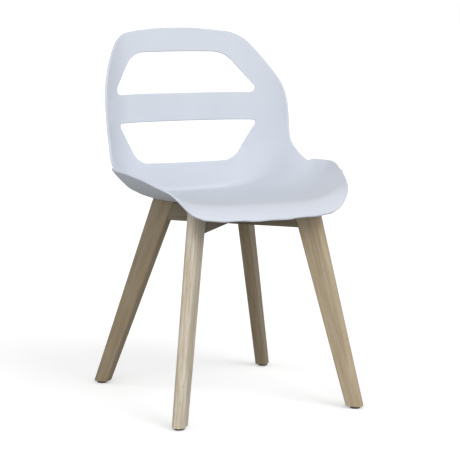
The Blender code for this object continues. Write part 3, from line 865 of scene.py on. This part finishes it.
    def out(self, x: Sequence[float], y: Sequence[float]) -> np.ndarray:
        """Distance from the fold along the seat, at y, negative ahead of the fold."""
        x, y = np.asarray(x, float), np.asarray(y, float)
        return y - self.fold(x)[0]

    def face(self, flat: np.ndarray) -> np.ndarray:
        """Upper face of the shell at flat (x, run) places, round the beam crossing."""
        x, run = flat[:, 0], flat[:, 1]
        fold_y, _ = self.fold(x)
        share = (np.abs(x) / self.fold_half_width) ** 2
        size = self.fold_middle + (self.fold_edge - self.fold_middle) * share

        def ramp(value: np.ndarray) -> np.ndarray:
            """Zero below, the value above, a parabola in between."""
            soft = (np.clip(value, -size, size) + size) ** 2 / (4.0 * size)
            return np.where(value >= size, value, soft)

        up = ramp(run) / math.hypot(1.0, self.back_lean)
        y = fold_y - ramp(-run)
        faded = self.flare(x) * (1.0 - np.exp(-up / self.flare_height))
        return np.stack([x, y + up * self.back_lean + faded, self.seat(x, y) + up], axis=1)

    def normal(self, flat: np.ndarray, step: float = 0.0005) -> np.ndarray:
        """Unit normals of the upper face."""
        dx, dr = np.array([step, 0.0]), np.array([0.0, step])
        across = self.face(flat + dx) - self.face(flat - dx)
        along = self.face(flat + dr) - self.face(flat - dr)
        normal = np.cross(across, along)
        return normal / np.linalg.norm(normal, axis=1, keepdims=True)

    def rim(self) -> np.ndarray:
        """Closed rim in the flat pattern."""
        top = self.seat_height + self.back_height
        xs = np.array([0.0, *self.front_knots])
        half = list(zip(xs, self.out(xs, self.front_edge(xs))))
        corner = np.array(self.front_corner)
        half += list(zip(corner[:, 0], self.out(corner[:, 0], -corner[:, 1])))
        start = self.lip_length - self.seat_front - self.wing_lead
        wings = np.array([w for w in self.wings if start < w[0] < self.wing_end])
        half += list(zip(wings[:, 1], self.out(wings[:, 1], wings[:, 0])))
        half.append((self.fold_half_width, 0.0))
        back = np.array(self.back_rim)
        half += list(zip(back[:, 0], self.up(back[:, 0], top - back[:, 1])))
        half.append((0.0, float(self.up([0.0], [top])[0])))
        line = curve_through(half, self.rim_pieces)
        return respaced(np.vstack([line, line[-2:0:-1] * (-1.0, 1.0)]), self.rim_step)

    def openings(self) -> list[np.ndarray]:
        """Closed outlines of the openings in the flat pattern."""
        top = self.seat_height + self.back_height
        upper_high = top - self.top_band
        upper_low = upper_high - self.upper_height
        lower_high = upper_low - self.crossbar
        lower_low = lower_high - self.lower_height
        bow = self.opening_bow
        openings = (Opening((upper_low, upper_high - bow), self.upper_halves, self.upper_radii,
                            (0.0, bow)),
                    Opening((lower_low + bow, lower_high), self.lower_halves, self.lower_radii,
                            (bow, 0.0)))
        lines = (opening.outline() for opening in openings)
        return [np.stack([line[:, 0], self.up(line[:, 0], line[:, 1])], axis=1) for line in lines]

    def rows_inside(self, outline: np.ndarray, hole: bool) -> list[tuple[np.ndarray, float]]:
        """Rows of points inside an edge, each with how far the rounded edge drops there.

        Args:
            outline: the edge, in the flat pattern.
            hole: the material lies outside the outline.

        Returns:
            (points, drop) for each row, from the edge inwards.
        """
        ahead = np.roll(outline, -1, axis=0) - np.roll(outline, 1, axis=0)
        inward = np.stack([-ahead[:, 1], ahead[:, 0]], axis=1)
        inward /= np.linalg.norm(ahead, axis=1, keepdims=True)
        reach = 1e-4
        if even_odd((outline + inward * reach)[:1], outline)[0] == hole:
            inward = -inward
        moved = self.face(outline + inward * reach) - self.face(outline)
        stretch = np.linalg.norm(moved, axis=1) / reach
        rows = []
        for angle in np.radians(np.arange(0.0, 90.0 + self.edge_turn / 2.0, self.edge_turn)):
            inset = self.edge_round * (1.0 - math.cos(angle))
            drop = self.edge_round * (1.0 - math.sin(angle))
            rows.append((outline + inward * (inset / stretch)[:, None], drop))
        inset = self.edge_round + self.edge_margin
        rows.append((outline + inward * (inset / stretch)[:, None], 0.0))
        return rows

    def pattern(self) -> tuple[list[tuple[float, float, float]], list[list[int]]]:
        """Flat pattern as points (x, run, drop) and triangles."""
        rim, holes = self.rim(), self.openings()
        points, drops, edges = [], [], []
        last_rows = []
        for outline, hole in ((rim, False), *((h, True) for h in holes)):
            rows = self.rows_inside(outline, hole)
            for row, drop in rows:
                first = len(points)
                points += [tuple(p) for p in row]
                drops += [drop] * len(row)
                edges += [(first + k, first + (k + 1) % len(row)) for k in range(len(row))]
            last_rows.append(rows[-1][0])
        half = np.arange(self.cell / 2.0, rim[:, 0].max(), self.cell)
        xs = np.concatenate([-half[::-1], half])
        runs = np.arange(rim[:, 1].min(), rim[:, 1].max(), self.cell)
        grid = np.stack(np.meshgrid(xs, runs), axis=-1).reshape(-1, 2)
        keep = even_odd(grid, last_rows[0])
        for row in last_rows[1:]:
            keep &= ~even_odd(grid, row)
        grid = grid[keep]
        tree = KDTree(sum(len(row) for row in last_rows))
        for k, p in enumerate(np.vstack(last_rows)):
            tree.insert((p[0], p[1], 0.0), k)
        tree.balance()
        grid = [p for p in grid if tree.find((p[0], p[1], 0.0))[2] > self.cell * self.clear_share]
        points += [tuple(p) for p in grid]
        drops += [0.0] * len(grid)
        laid, _, faces, sources, _, _ = delaunay_2d_cdt([Vector(p) for p in points], edges, [], 0,
                                                        self.weld)
        flat = np.array([tuple(p) for p in laid])
        middles = np.array([flat[list(f)].mean(axis=0) for f in faces])
        wanted = even_odd(middles, rim)
        for hole in holes:
            wanted &= ~even_odd(middles, hole)
        drop = [min(drops[k] for k in source) for source in sources]
        used = sorted({k for f, w in zip(faces, wanted) if w for k in f})
        number = {old: new for new, old in enumerate(used)}
        return ([(*flat[k], -drop[k]) for k in used],
                [[number[k] for k in f] for f, w in zip(faces, wanted) if w])

    def build(self) -> Workpiece:
        """Lays out the flat pattern, gives it its wall, forms it and adds the bosses.

        Returns:
            The shell.
        """
        piece = Workpiece.sheet("shell_moulding", *self.pattern())
        with piece.editing():
            bpy.ops.mesh.select_all(action="SELECT")
            bpy.ops.mesh.tris_convert_to_quads(face_threshold=math.radians(20),
                                               shape_threshold=math.radians(25))
            piece.extrude(-self.wall)
        mesh = piece.obj.data
        co = np.empty(len(mesh.vertices) * 3)
        mesh.vertices.foreach_get("co", co)
        co = co.reshape(-1, 3)
        depth = np.where(co[:, 2] < -self.wall / 2.0, -2.0 * self.wall - co[:, 2], co[:, 2])
        flat = co[:, :2]
        formed = self.face(flat) + self.normal(flat) * depth[:, None]
        formed[:, :2] += (self.crossing.x, self.crossing.y)
        mesh.vertices.foreach_set("co", formed.ravel())
        mesh.update()
        with piece.editing():
            bpy.ops.mesh.select_all(action="SELECT")
            bpy.ops.mesh.normals_make_consistent(inside=False)
        for corner in Corner:
            self.add_boss(piece, corner)
        piece.smooth(flats=False)
        return piece

    def add_boss(self, piece: Workpiece, corner: "Corner") -> None:
        """Welds one mounting boss under the shell and bores it for its insert.

        Args:
            piece: the shell.
            corner: which boss.
        """
        low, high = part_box("insert_" + corner.label)
        middle = (low + high) / 2.0
        place = upright(middle.x, middle.y)
        local = np.array([[middle.x - self.crossing.x, middle.y - self.crossing.y]])
        flat = np.array([[local[0, 0], float(self.out(local[:, 0], local[:, 1])[0])]])
        root = float(self.face(flat)[0, 2]) - self.wall
        face = low.z - GAP
        top = root + self.wall * self.boss_sunk
        boss = Workpiece.cylinder("boss", self.boss_radius, face, top, 64)
        with boss.editing():
            boss.pick_top()
            boss.extrude(0.0, 1.0 + self.boss_flare / self.boss_radius, root)
        boss.ease_level(face, self.boss_round, 3)
        piece.combine(boss.settle(place), Join.WELD)
        piece.bore(self.insert_radius, face - OVERCUT, high.z + GAP, place)


# ------------------------------------------------------------------------------ timber base
class Corner(Enum):
    """The four corners of the base: label, side (-1 left) and end (-1 front)."""

    FRONT_LEFT = ("front_left", -1, -1)
    FRONT_RIGHT = ("front_right", 1, -1)
    REAR_LEFT = ("rear_left", -1, 1)
    REAR_RIGHT = ("rear_right", 1, 1)

    @property
    def label(self) -> str:
        """The corner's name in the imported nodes."""
        return self.value[0]

    @property
    def side(self) -> int:
        """-1 on the left, 1 on the right."""
        return self.value[1]

    @property
    def end(self) -> int:
        """-1 in front, 1 at the rear."""
        return self.value[2]

    @property
    def opposite(self) -> "Corner":
        """The corner at the other end of the same beam."""
        return next(c for c in Corner if c.side == -self.side and c.end == -self.end)


@dataclass
class Base:
    """The sizes that legs and beams share."""

    crossing: Vector
    diagonal: float = 42.5
    leg_thickness: float = 0.0264
    width_top: float = 0.0555
    width_foot: float = 0.0345
    front_foot: float = 0.3035
    rear_foot: float = 0.3035
    front_top: float = 0.1888
    rear_top: float = 0.1403
    beam_thickness: float = 0.026

    def frame(self, corner: Corner) -> Matrix:
        """Frame at the crossing on the floor, with X out to a corner and Z up."""
        angle = math.radians(self.diagonal)
        along = Vector((corner.side * math.sin(angle), corner.end * math.cos(angle), 0.0))
        return turned(Vector((self.crossing.x, self.crossing.y, 0.0)), (along, UP.cross(along), UP))

    def section(self, corner: Corner, z: float) -> tuple[float, float]:
        """Distance of a leg's middle from the crossing, and its width, at height z."""
        front = corner.end < 0
        top = self.front_top if front else self.rear_top
        foot = self.front_foot if front else self.rear_foot
        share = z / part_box("leg_" + corner.label)[1].z
        width = self.width_foot + (self.width_top - self.width_foot) * share
        return foot + (top - foot) * share, width

    def inner(self, corner: Corner, z: float) -> float:
        """Distance of a leg's inner side from the crossing at height z."""
        centre, width = self.section(corner, z)
        return centre - width / 2.0


# Painted light and shade, one (colour factor, lime) pair per leg: the front left leg lighter and
# whiter as a painted highlight, the rear legs darker as painted shade under the seat.
LEG_PAINTED_LIGHT_AND_LIME = {Corner.FRONT_LEFT: (0.94, 0.82), Corner.FRONT_RIGHT: (0.95, 0.28),
             Corner.REAR_LEFT: (0.62, 0.10), Corner.REAR_RIGHT: (0.55, 0.10)}
# Painted shade for both beams: (colour factor, lime), darker than the legs where the seat shades
# them.
BEAM_PAINTED_SHADE_AND_LIME = (0.40, 0.10)


@dataclass
class Leg:
    """A splayed, tapered leg with two large rounded edges on its outer side."""

    base: Base
    corner: Corner
    outer_round: tuple[float, int] = (0.0105, 9)
    inner_round: tuple[float, int] = (0.0025, 4)
    end_round: tuple[float, int] = (0.0009, 3)
    figure_start: float = 3.1
    figure_step: float = 1.7

    def build(self) -> Workpiece:
        """Shapes the leg from a block.

        Returns:
            The leg, in its place.
        """
        node_low, node_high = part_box("leg_" + self.corner.label)
        low, high = node_low.z, node_high.z
        foot, foot_width = self.base.section(self.corner, low)
        top, top_width = self.base.section(self.corner, high)
        half = self.base.leg_thickness / 2.0
        leg = Workpiece.block("leg_%s_timber" % self.corner.label,
                              (foot - foot_width / 2.0, -half, low),
                              (foot + foot_width / 2.0, half, high))
        with leg.editing():
            leg.pick_top()
            bpy.ops.transform.translate(value=(top - foot, 0.0, 0.0))
            bpy.ops.transform.resize(value=(top_width / foot_width, 1.0, 1.0),
                                     center_override=(top, 0.0, high))
        middle = (low + high) / 2.0
        centre = self.base.section(self.corner, middle)[0]

        def long_edge(edge: bmesh.types.BMEdge, outer: bool) -> bool:
            """True for a long edge on the outer or the inner side."""
            a, b = (v.co for v in edge.verts)
            return abs(a.z - b.z) > (high - low) * 0.9 and (((a + b) / 2.0).x > centre) == outer

        leg.ease(lambda e: long_edge(e, True), *self.outer_round)
        leg.ease(lambda e: long_edge(e, False), *self.inner_round)
        for level in (low, high):
            leg.ease_level(level, *self.end_round)
        leg.settle(self.base.frame(self.corner))
        leg.smooth()
        return leg

    def finish(self) -> Beech:
        """Limed beech with its grain up this leg, lightened or darkened as painted light and shade.
        """
        frame_ = self.base.frame(self.corner)
        _, node_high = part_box("leg_" + self.corner.label)
        foot = frame_ @ Vector((self.base.section(self.corner, 0.0)[0], 0.0, 0.0))
        top = frame_ @ Vector((self.base.section(self.corner, node_high.z)[0], 0.0, node_high.z))
        along = (top - foot).normalized()
        side = Vector(frame_.col[1][:3])
        place = turned(foot, (side.cross(along), side, along))
        shift = self.figure_start + self.figure_step * list(Corner).index(self.corner)
        # the leg's colour factor and lime paint its light and shade
        return beech("limed_beech_leg_" + self.corner.label, place, shift, *LEG_PAINTED_LIGHT_AND_LIME[self.corner])


@dataclass
class Beam:
    """A beam from one front corner to the opposite rear corner, half lapped at the crossing."""

    base: Base
    front: Corner
    edge_round: tuple[float, int] = (0.0015, 4)
    bolt_bore: float = 0.0033
    counterbore: float = 0.00685
    counterbore_depth: float = 0.010
    figure_shift: float = 12.4

    def build(self) -> Workpiece:
        """Shapes the beam from a block, then laps and bores it.

        Returns:
            The beam, in its place.
        """
        name = "beam_" + self.front.label
        node_low, node_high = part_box(name)
        low, high, rear = node_low.z, node_high.z, self.front.opposite
        half = self.base.beam_thickness / 2.0
        front_low, front_high = (self.base.inner(self.front, z) - GAP for z in (low, high))
        rear_low, rear_high = (-(self.base.inner(rear, z) - GAP) for z in (low, high))
        beam = Workpiece.block(name + "_timber", (rear_low, -half, low), (front_low, half, high))
        with beam.editing():
            for sign, shift in ((1, front_high - front_low), (-1, rear_high - rear_low)):
                beam.pick(Element.EDGE, lambda e: all(v.co.z > high - TOUCH and v.co.x * sign > 0.0
                                                      for v in e.verts))
                bpy.ops.transform.translate(value=(shift, 0.0, 0.0))
        reach = (front_low - rear_low) * 0.8
        beam.ease(lambda e: abs(e.verts[0].co.x - e.verts[1].co.x) > reach, *self.edge_round)
        beam.settle(self.base.frame(self.front))
        self.lap(beam, low, high)
        for corner in (self.front, rear):
            bolt_low, bolt_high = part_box("bolt_" + corner.label)
            centre = (bolt_low + bolt_high) / 2.0
            place = upright(centre.x, centre.y)
            beam.bore(self.counterbore, low - OVERCUT, low + self.counterbore_depth, place)
            beam.bore(self.bolt_bore, low, high + OVERCUT, place)
        self.screw_bore(beam, low)
        beam.smooth(25.0)
        return beam

    def lap(self, beam: Workpiece, low: float, high: float) -> None:
        """Cuts away the half that the other beam fills at the crossing.

        Args:
            beam: the beam, in its place.
            low: its underside.
            high: its top.
        """
        middle = (low + high) / 2.0
        below, above = (low - OVERCUT, middle + GAP / 2.0), (middle - GAP / 2.0, high + OVERCUT)
        span = below if self.front.side > 0 else above
        half = self.base.beam_thickness / 2.0 + GAP
        other = next(c for c in Corner if c.end < 0 and c is not self.front)
        tool = Workpiece.block("lap", (-half * 3.0, -half, span[0]), (half * 3.0, half, span[1]))
        beam.combine(tool.settle(self.base.frame(other)), Join.CUT)

    def screw_bore(self, beam: Workpiece, low: float) -> None:
        """Bores the beam for the countersunk screw at the crossing.

        Args:
            beam: the beam, in its place.
            low: its underside.
        """
        screw_low, screw_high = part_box("lap_screw")
        radius = (screw_high.x - screw_low.x) / 2.0 + GAP
        place = upright(self.base.crossing.x, self.base.crossing.y)
        beam.bore(radius / 2.0 + GAP, low - OVERCUT, screw_high.z + GAP, place, 32)
        if self.front.side < 0:
            beam.bore(radius, low - OVERCUT, low + radius / 2.0 + GAP, place, 32)

    def finish(self) -> Beech:
        """Limed beech with its grain along this beam, darkened as painted shade."""
        frame_ = self.base.frame(self.front)
        low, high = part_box("beam_" + self.front.label)
        middle = Vector((self.base.crossing.x, self.base.crossing.y, (low.z + high.z) / 2.0))
        place = turned(middle, (-UP, Vector(frame_.col[1][:3]), Vector(frame_.col[0][:3])))
        return beech("limed_beech_beam_" + self.front.label, place,
                     # the beam's colour factor paints the shade under the seat
                     self.figure_shift + self.front.side, *BEAM_PAINTED_SHADE_AND_LIME)


# ------------------------------------------------------------------------------ fittings
def round_place(node: str) -> tuple[Matrix, float, float, float]:
    """Place of an upright round node.

    Args:
        node: its name.

    Returns:
        Its frame on the floor, its radius, its lowest and its highest height.
    """
    low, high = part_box(node)
    middle = (low + high) / 2.0
    return upright(middle.x, middle.y), (high.x - low.x) / 2.0, low.z, high.z


@dataclass
class Glide:
    """A low round glide under a leg, with a rounded edge and a sole hollowed inside it."""

    corner: Corner
    sole_round: tuple[float, int] = (0.0018, 5)
    rim_round: tuple[float, int] = (0.0004, 2)
    hollow_margin: float = 0.0022
    hollow_depth: float = 0.0004

    def build(self) -> Workpiece:
        """Turns the glide.

        Returns:
            The glide, in its place.
        """
        place, radius, low, high = round_place("glide_" + self.corner.label)
        glide = Workpiece.cylinder("glide_%s_turned" % self.corner.label, radius, low, high, 56)
        glide.ease_level(low, *self.sole_round)
        glide.ease_level(high, *self.rim_round)
        with glide.editing():
            glide.pick(Element.FACE, lambda f: f.normal.z < -0.9)
            bpy.ops.mesh.inset(thickness=self.hollow_margin)
            bpy.ops.transform.translate(value=(0.0, 0.0, self.hollow_depth))
        nail, nail_radius, nail_low, _ = round_place("glide_nail_" + self.corner.label)
        glide.settle(place)
        glide.bore(nail_radius + GAP, nail_low - GAP, high + OVERCUT, nail, 24)
        glide.smooth()
        return glide


@dataclass
class Fixing:
    """The bolt, washer and rubber pad of one mounting point."""

    corner: Corner
    shank_radius: float = 0.003
    head_height: float = 0.005
    socket_across: float = 0.005
    socket_depth: float = 0.0025
    edge_round: tuple[float, int] = (0.0005, 3)

    def bolt(self) -> Workpiece:
        """Makes the hexagon socket cap bolt.

        Returns:
            The bolt, in its place.
        """
        place, radius, low, high = round_place("bolt_" + self.corner.label)
        neck = low + self.head_height
        bolt = Workpiece.cylinder("bolt_%s_turned" % self.corner.label, radius, low, neck, 48)
        with bolt.editing():
            bolt.pick_top()
            bpy.ops.mesh.inset(thickness=radius - self.shank_radius)
            bolt.extrude(high - neck)
        for level in (low, high):
            bolt.ease_level(level, *self.edge_round)
        socket = Workpiece.cylinder("socket", self.socket_across / math.sqrt(3.0), low - OVERCUT,
                                    low + self.socket_depth, 6)
        bolt.combine(socket, Join.CUT)
        bolt.settle(place)
        bolt.smooth()
        return bolt

    def ring(self, kind: str, sides: int, edge_radius: float) -> Workpiece:
        """Makes the washer or the pad: a flat ring round the bolt.

        Args:
            kind: washer or spacer.
            sides: number of sides.
            edge_radius: radius of its outer edges.

        Returns:
            The ring, in its place.
        """
        name = "%s_%s" % (kind, self.corner.label)
        place, radius, low, high = round_place(name)
        ring = Workpiece.cylinder(name + "_ring", radius, low, high, sides)
        ring.ease(lambda e: abs(e.verts[0].co.z - e.verts[1].co.z) < TOUCH, edge_radius, 2)
        ring.bore(self.shank_radius + GAP, low - OVERCUT, high + OVERCUT, Matrix.Identity(4))
        ring.settle(place)
        ring.smooth()
        return ring


RINGS = (("washer", 48, 0.0002, STEEL_FINISH, "steel"),
         ("spacer", 56, 0.0004, RUBBER_FINISH, "spacer"))


@dataclass
class LapScrew:
    """The countersunk screw through the crossing, with a cross recess."""

    shank_radius: float = 0.002
    recess: float = 0.0046
    recess_width: float = 0.0009
    recess_depth: float = 0.0016
    rim: float = 0.0003
    tip: float = 0.0003

    def build(self) -> Workpiece:
        """Turns the screw.

        Returns:
            The screw, in its place.
        """
        place, radius, low, high = round_place("lap_screw")
        shank = self.shank_radius
        cone = radius - shank
        screw = Workpiece.cylinder("lap_screw_turned", radius, low, low + self.rim, 36)
        with screw.editing():
            screw.pick_top()
            screw.extrude(cone, shank / radius)
            screw.extrude(high - low - cone - self.rim - shank)
            screw.extrude(shank, self.tip / shank)
        for long_, wide in ((self.recess, self.recess_width), (self.recess_width, self.recess)):
            slot = Workpiece.block("slot", (-long_ / 2.0, -wide / 2.0, low - OVERCUT),
                                   (long_ / 2.0, wide / 2.0, low + self.recess_depth))
            screw.combine(slot, Join.CUT)
        screw.settle(place)
        screw.smooth()
        return screw


# ------------------------------------------------------------------------------ studio
@dataclass(frozen=True)
class Lamp:
    """One soft light from far away: its direction, its strength and its apparent width."""

    name: str
    azimuth: float
    elevation: float
    strength: float
    width: float = 35.0
    distance: float = 4.0

    def build(self) -> None:
        """Hangs the light and aims it at the middle of the floor."""
        direction = toward(self.azimuth, self.elevation)
        data = bpy.data.lights.new(self.name, "SUN")
        data.energy = self.strength
        data.angle = math.radians(self.width)
        lamp = bpy.data.objects.new(self.name, data)
        bpy.context.scene.collection.objects.link(lamp)
        lamp.location = direction * self.distance
        lamp.rotation_euler = direction.to_track_quat("Z", "Y").to_euler()


@dataclass
class Studio:
    """Floor, lights, sky and camera."""

    azimuth: float = -25.10
    elevation: float = 7.29
    distance: float = 3.383
    aim: tuple[float, float, float] = (0.0, -0.0450, 0.42)
    focal_length: float = 122.81
    sensor_width: float = 36.0
    shift: tuple[float, float] = (-0.0008, -0.0492)
    floor_half: float = 60.0
    floor_gap: float = 0.0002
    sky: float = 0.48
    lamps: tuple[Lamp, ...] = (
        Lamp("front_low", -25.0, 12.0, 0.45), Lamp("front_high", -25.0, 42.0, 0.40),
        Lamp("left_low", -70.0, 12.0, 0.66), Lamp("left_high", -115.0, 40.0, 0.25),
        Lamp("right_high", 20.0, 40.0, 1.08), Lamp("right_low", 65.0, 12.0, 0.50))

    def build(self) -> None:
        """Sets up everything round the chair."""
        self.lay_floor()
        for lamp in self.lamps:
            lamp.build()
        self.light_sky()
        self.stand_camera()
        view = bpy.context.scene.view_settings
        view.view_transform = "Standard"
        view.look = "None"

    def lay_floor(self) -> None:
        """Lays the plain pale floor just under the glides."""
        bpy.ops.object.select_all(action="DESELECT")
        bpy.ops.mesh.primitive_plane_add(size=2.0 * self.floor_half,
                                         location=(0.0, 0.0, -self.floor_gap))
        floor = Workpiece("studio_floor", bpy.context.active_object).settle().obj
        floor.data.materials.append(FLOOR_FINISH.material())

    def light_sky(self) -> None:
        """Gives the sky an even pale light."""
        world = bpy.data.worlds.new("studio_sky")
        world.use_nodes = True
        nodes, links = world.node_tree.nodes, world.node_tree.links
        sky = nodes["Background"]
        sky.inputs["Color"].default_value = WHITE
        sky.inputs["Strength"].default_value = self.sky
        seen = nodes.new("ShaderNodeBackground")
        seen.inputs["Color"].default_value = WHITE
        path = nodes.new("ShaderNodeLightPath")
        mix = nodes.new("ShaderNodeMixShader")
        links.new(path.outputs["Is Camera Ray"], mix.inputs["Fac"])
        links.new(sky.outputs["Background"], mix.inputs[1])
        links.new(seen.outputs["Background"], mix.inputs[2])
        links.new(mix.outputs["Shader"], nodes["World Output"].inputs["Surface"])
        bpy.context.scene.world = world

    def stand_camera(self) -> None:
        """Stands the camera on its line of sight."""
        back = toward(self.azimuth, self.elevation)
        data = bpy.data.cameras.new("camera")
        data.sensor_width = self.sensor_width
        data.lens = self.focal_length
        data.shift_x, data.shift_y = self.shift
        camera = bpy.data.objects.new("camera", data)
        bpy.context.scene.collection.objects.link(camera)
        camera.location = Vector(self.aim) + back * self.distance
        camera.rotation_euler = back.to_track_quat("Z", "Y").to_euler()
        bpy.context.scene.camera = camera


# ------------------------------------------------------------------------------ the chair
@dataclass
class Chair:
    """All sub-assemblies of the chair, in the order in which they are made."""

    crossing: Vector = field(default_factory=lambda: sum(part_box("lap_screw"), Vector()) / 2.0)

    def build(self) -> None:
        """Makes and dresses every piece."""
        base = Base(self.crossing)
        Shell(self.crossing).build().deliver(SHELL_FINISH, "shell", "shell")
        for corner in Corner:
            leg = Leg(base, corner)
            leg.build().deliver(leg.finish(), "timber", "leg_" + corner.label)
            Glide(corner).build().deliver(GLIDE_FINISH, "glide", "glide_" + corner.label)
            fixing = Fixing(corner)
            fixing.bolt().deliver(STEEL_FINISH, "steel", "bolt_" + corner.label)
            for kind, sides, edge_radius, finish, slot in RINGS:
                ring = fixing.ring(kind, sides, edge_radius)
                ring.deliver(finish, slot, "%s_%s" % (kind, corner.label))
            if corner.end < 0:
                beam = Beam(base, corner)
                beam.build().deliver(beam.finish(), "timber", "beam_" + corner.label)
        LapScrew().build().deliver(STEEL_FINISH, "steel", "lap_screw")
        self.dress_hidden()

    def dress_hidden(self) -> None:
        """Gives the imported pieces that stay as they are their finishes."""
        finishes = {"dowel_": DOWEL_FINISH, "insert_": BRASS_FINISH, "glide_nail_": STEEL_FINISH}
        for name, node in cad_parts.items():
            for prefix, finish in finishes.items():
                if name.startswith(prefix):
                    for place in node.material_slots:
                        place.material = finish.material()
                    log.info("%s: packed shape, %s", name, finish.name)


def main() -> None:
    """Builds the chair and its studio."""
    logging.basicConfig(level=logging.INFO, format="%(name)s: %(message)s")
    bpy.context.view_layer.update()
    Chair().build()
    Studio().build()


if __name__ == "__main__":
    main()
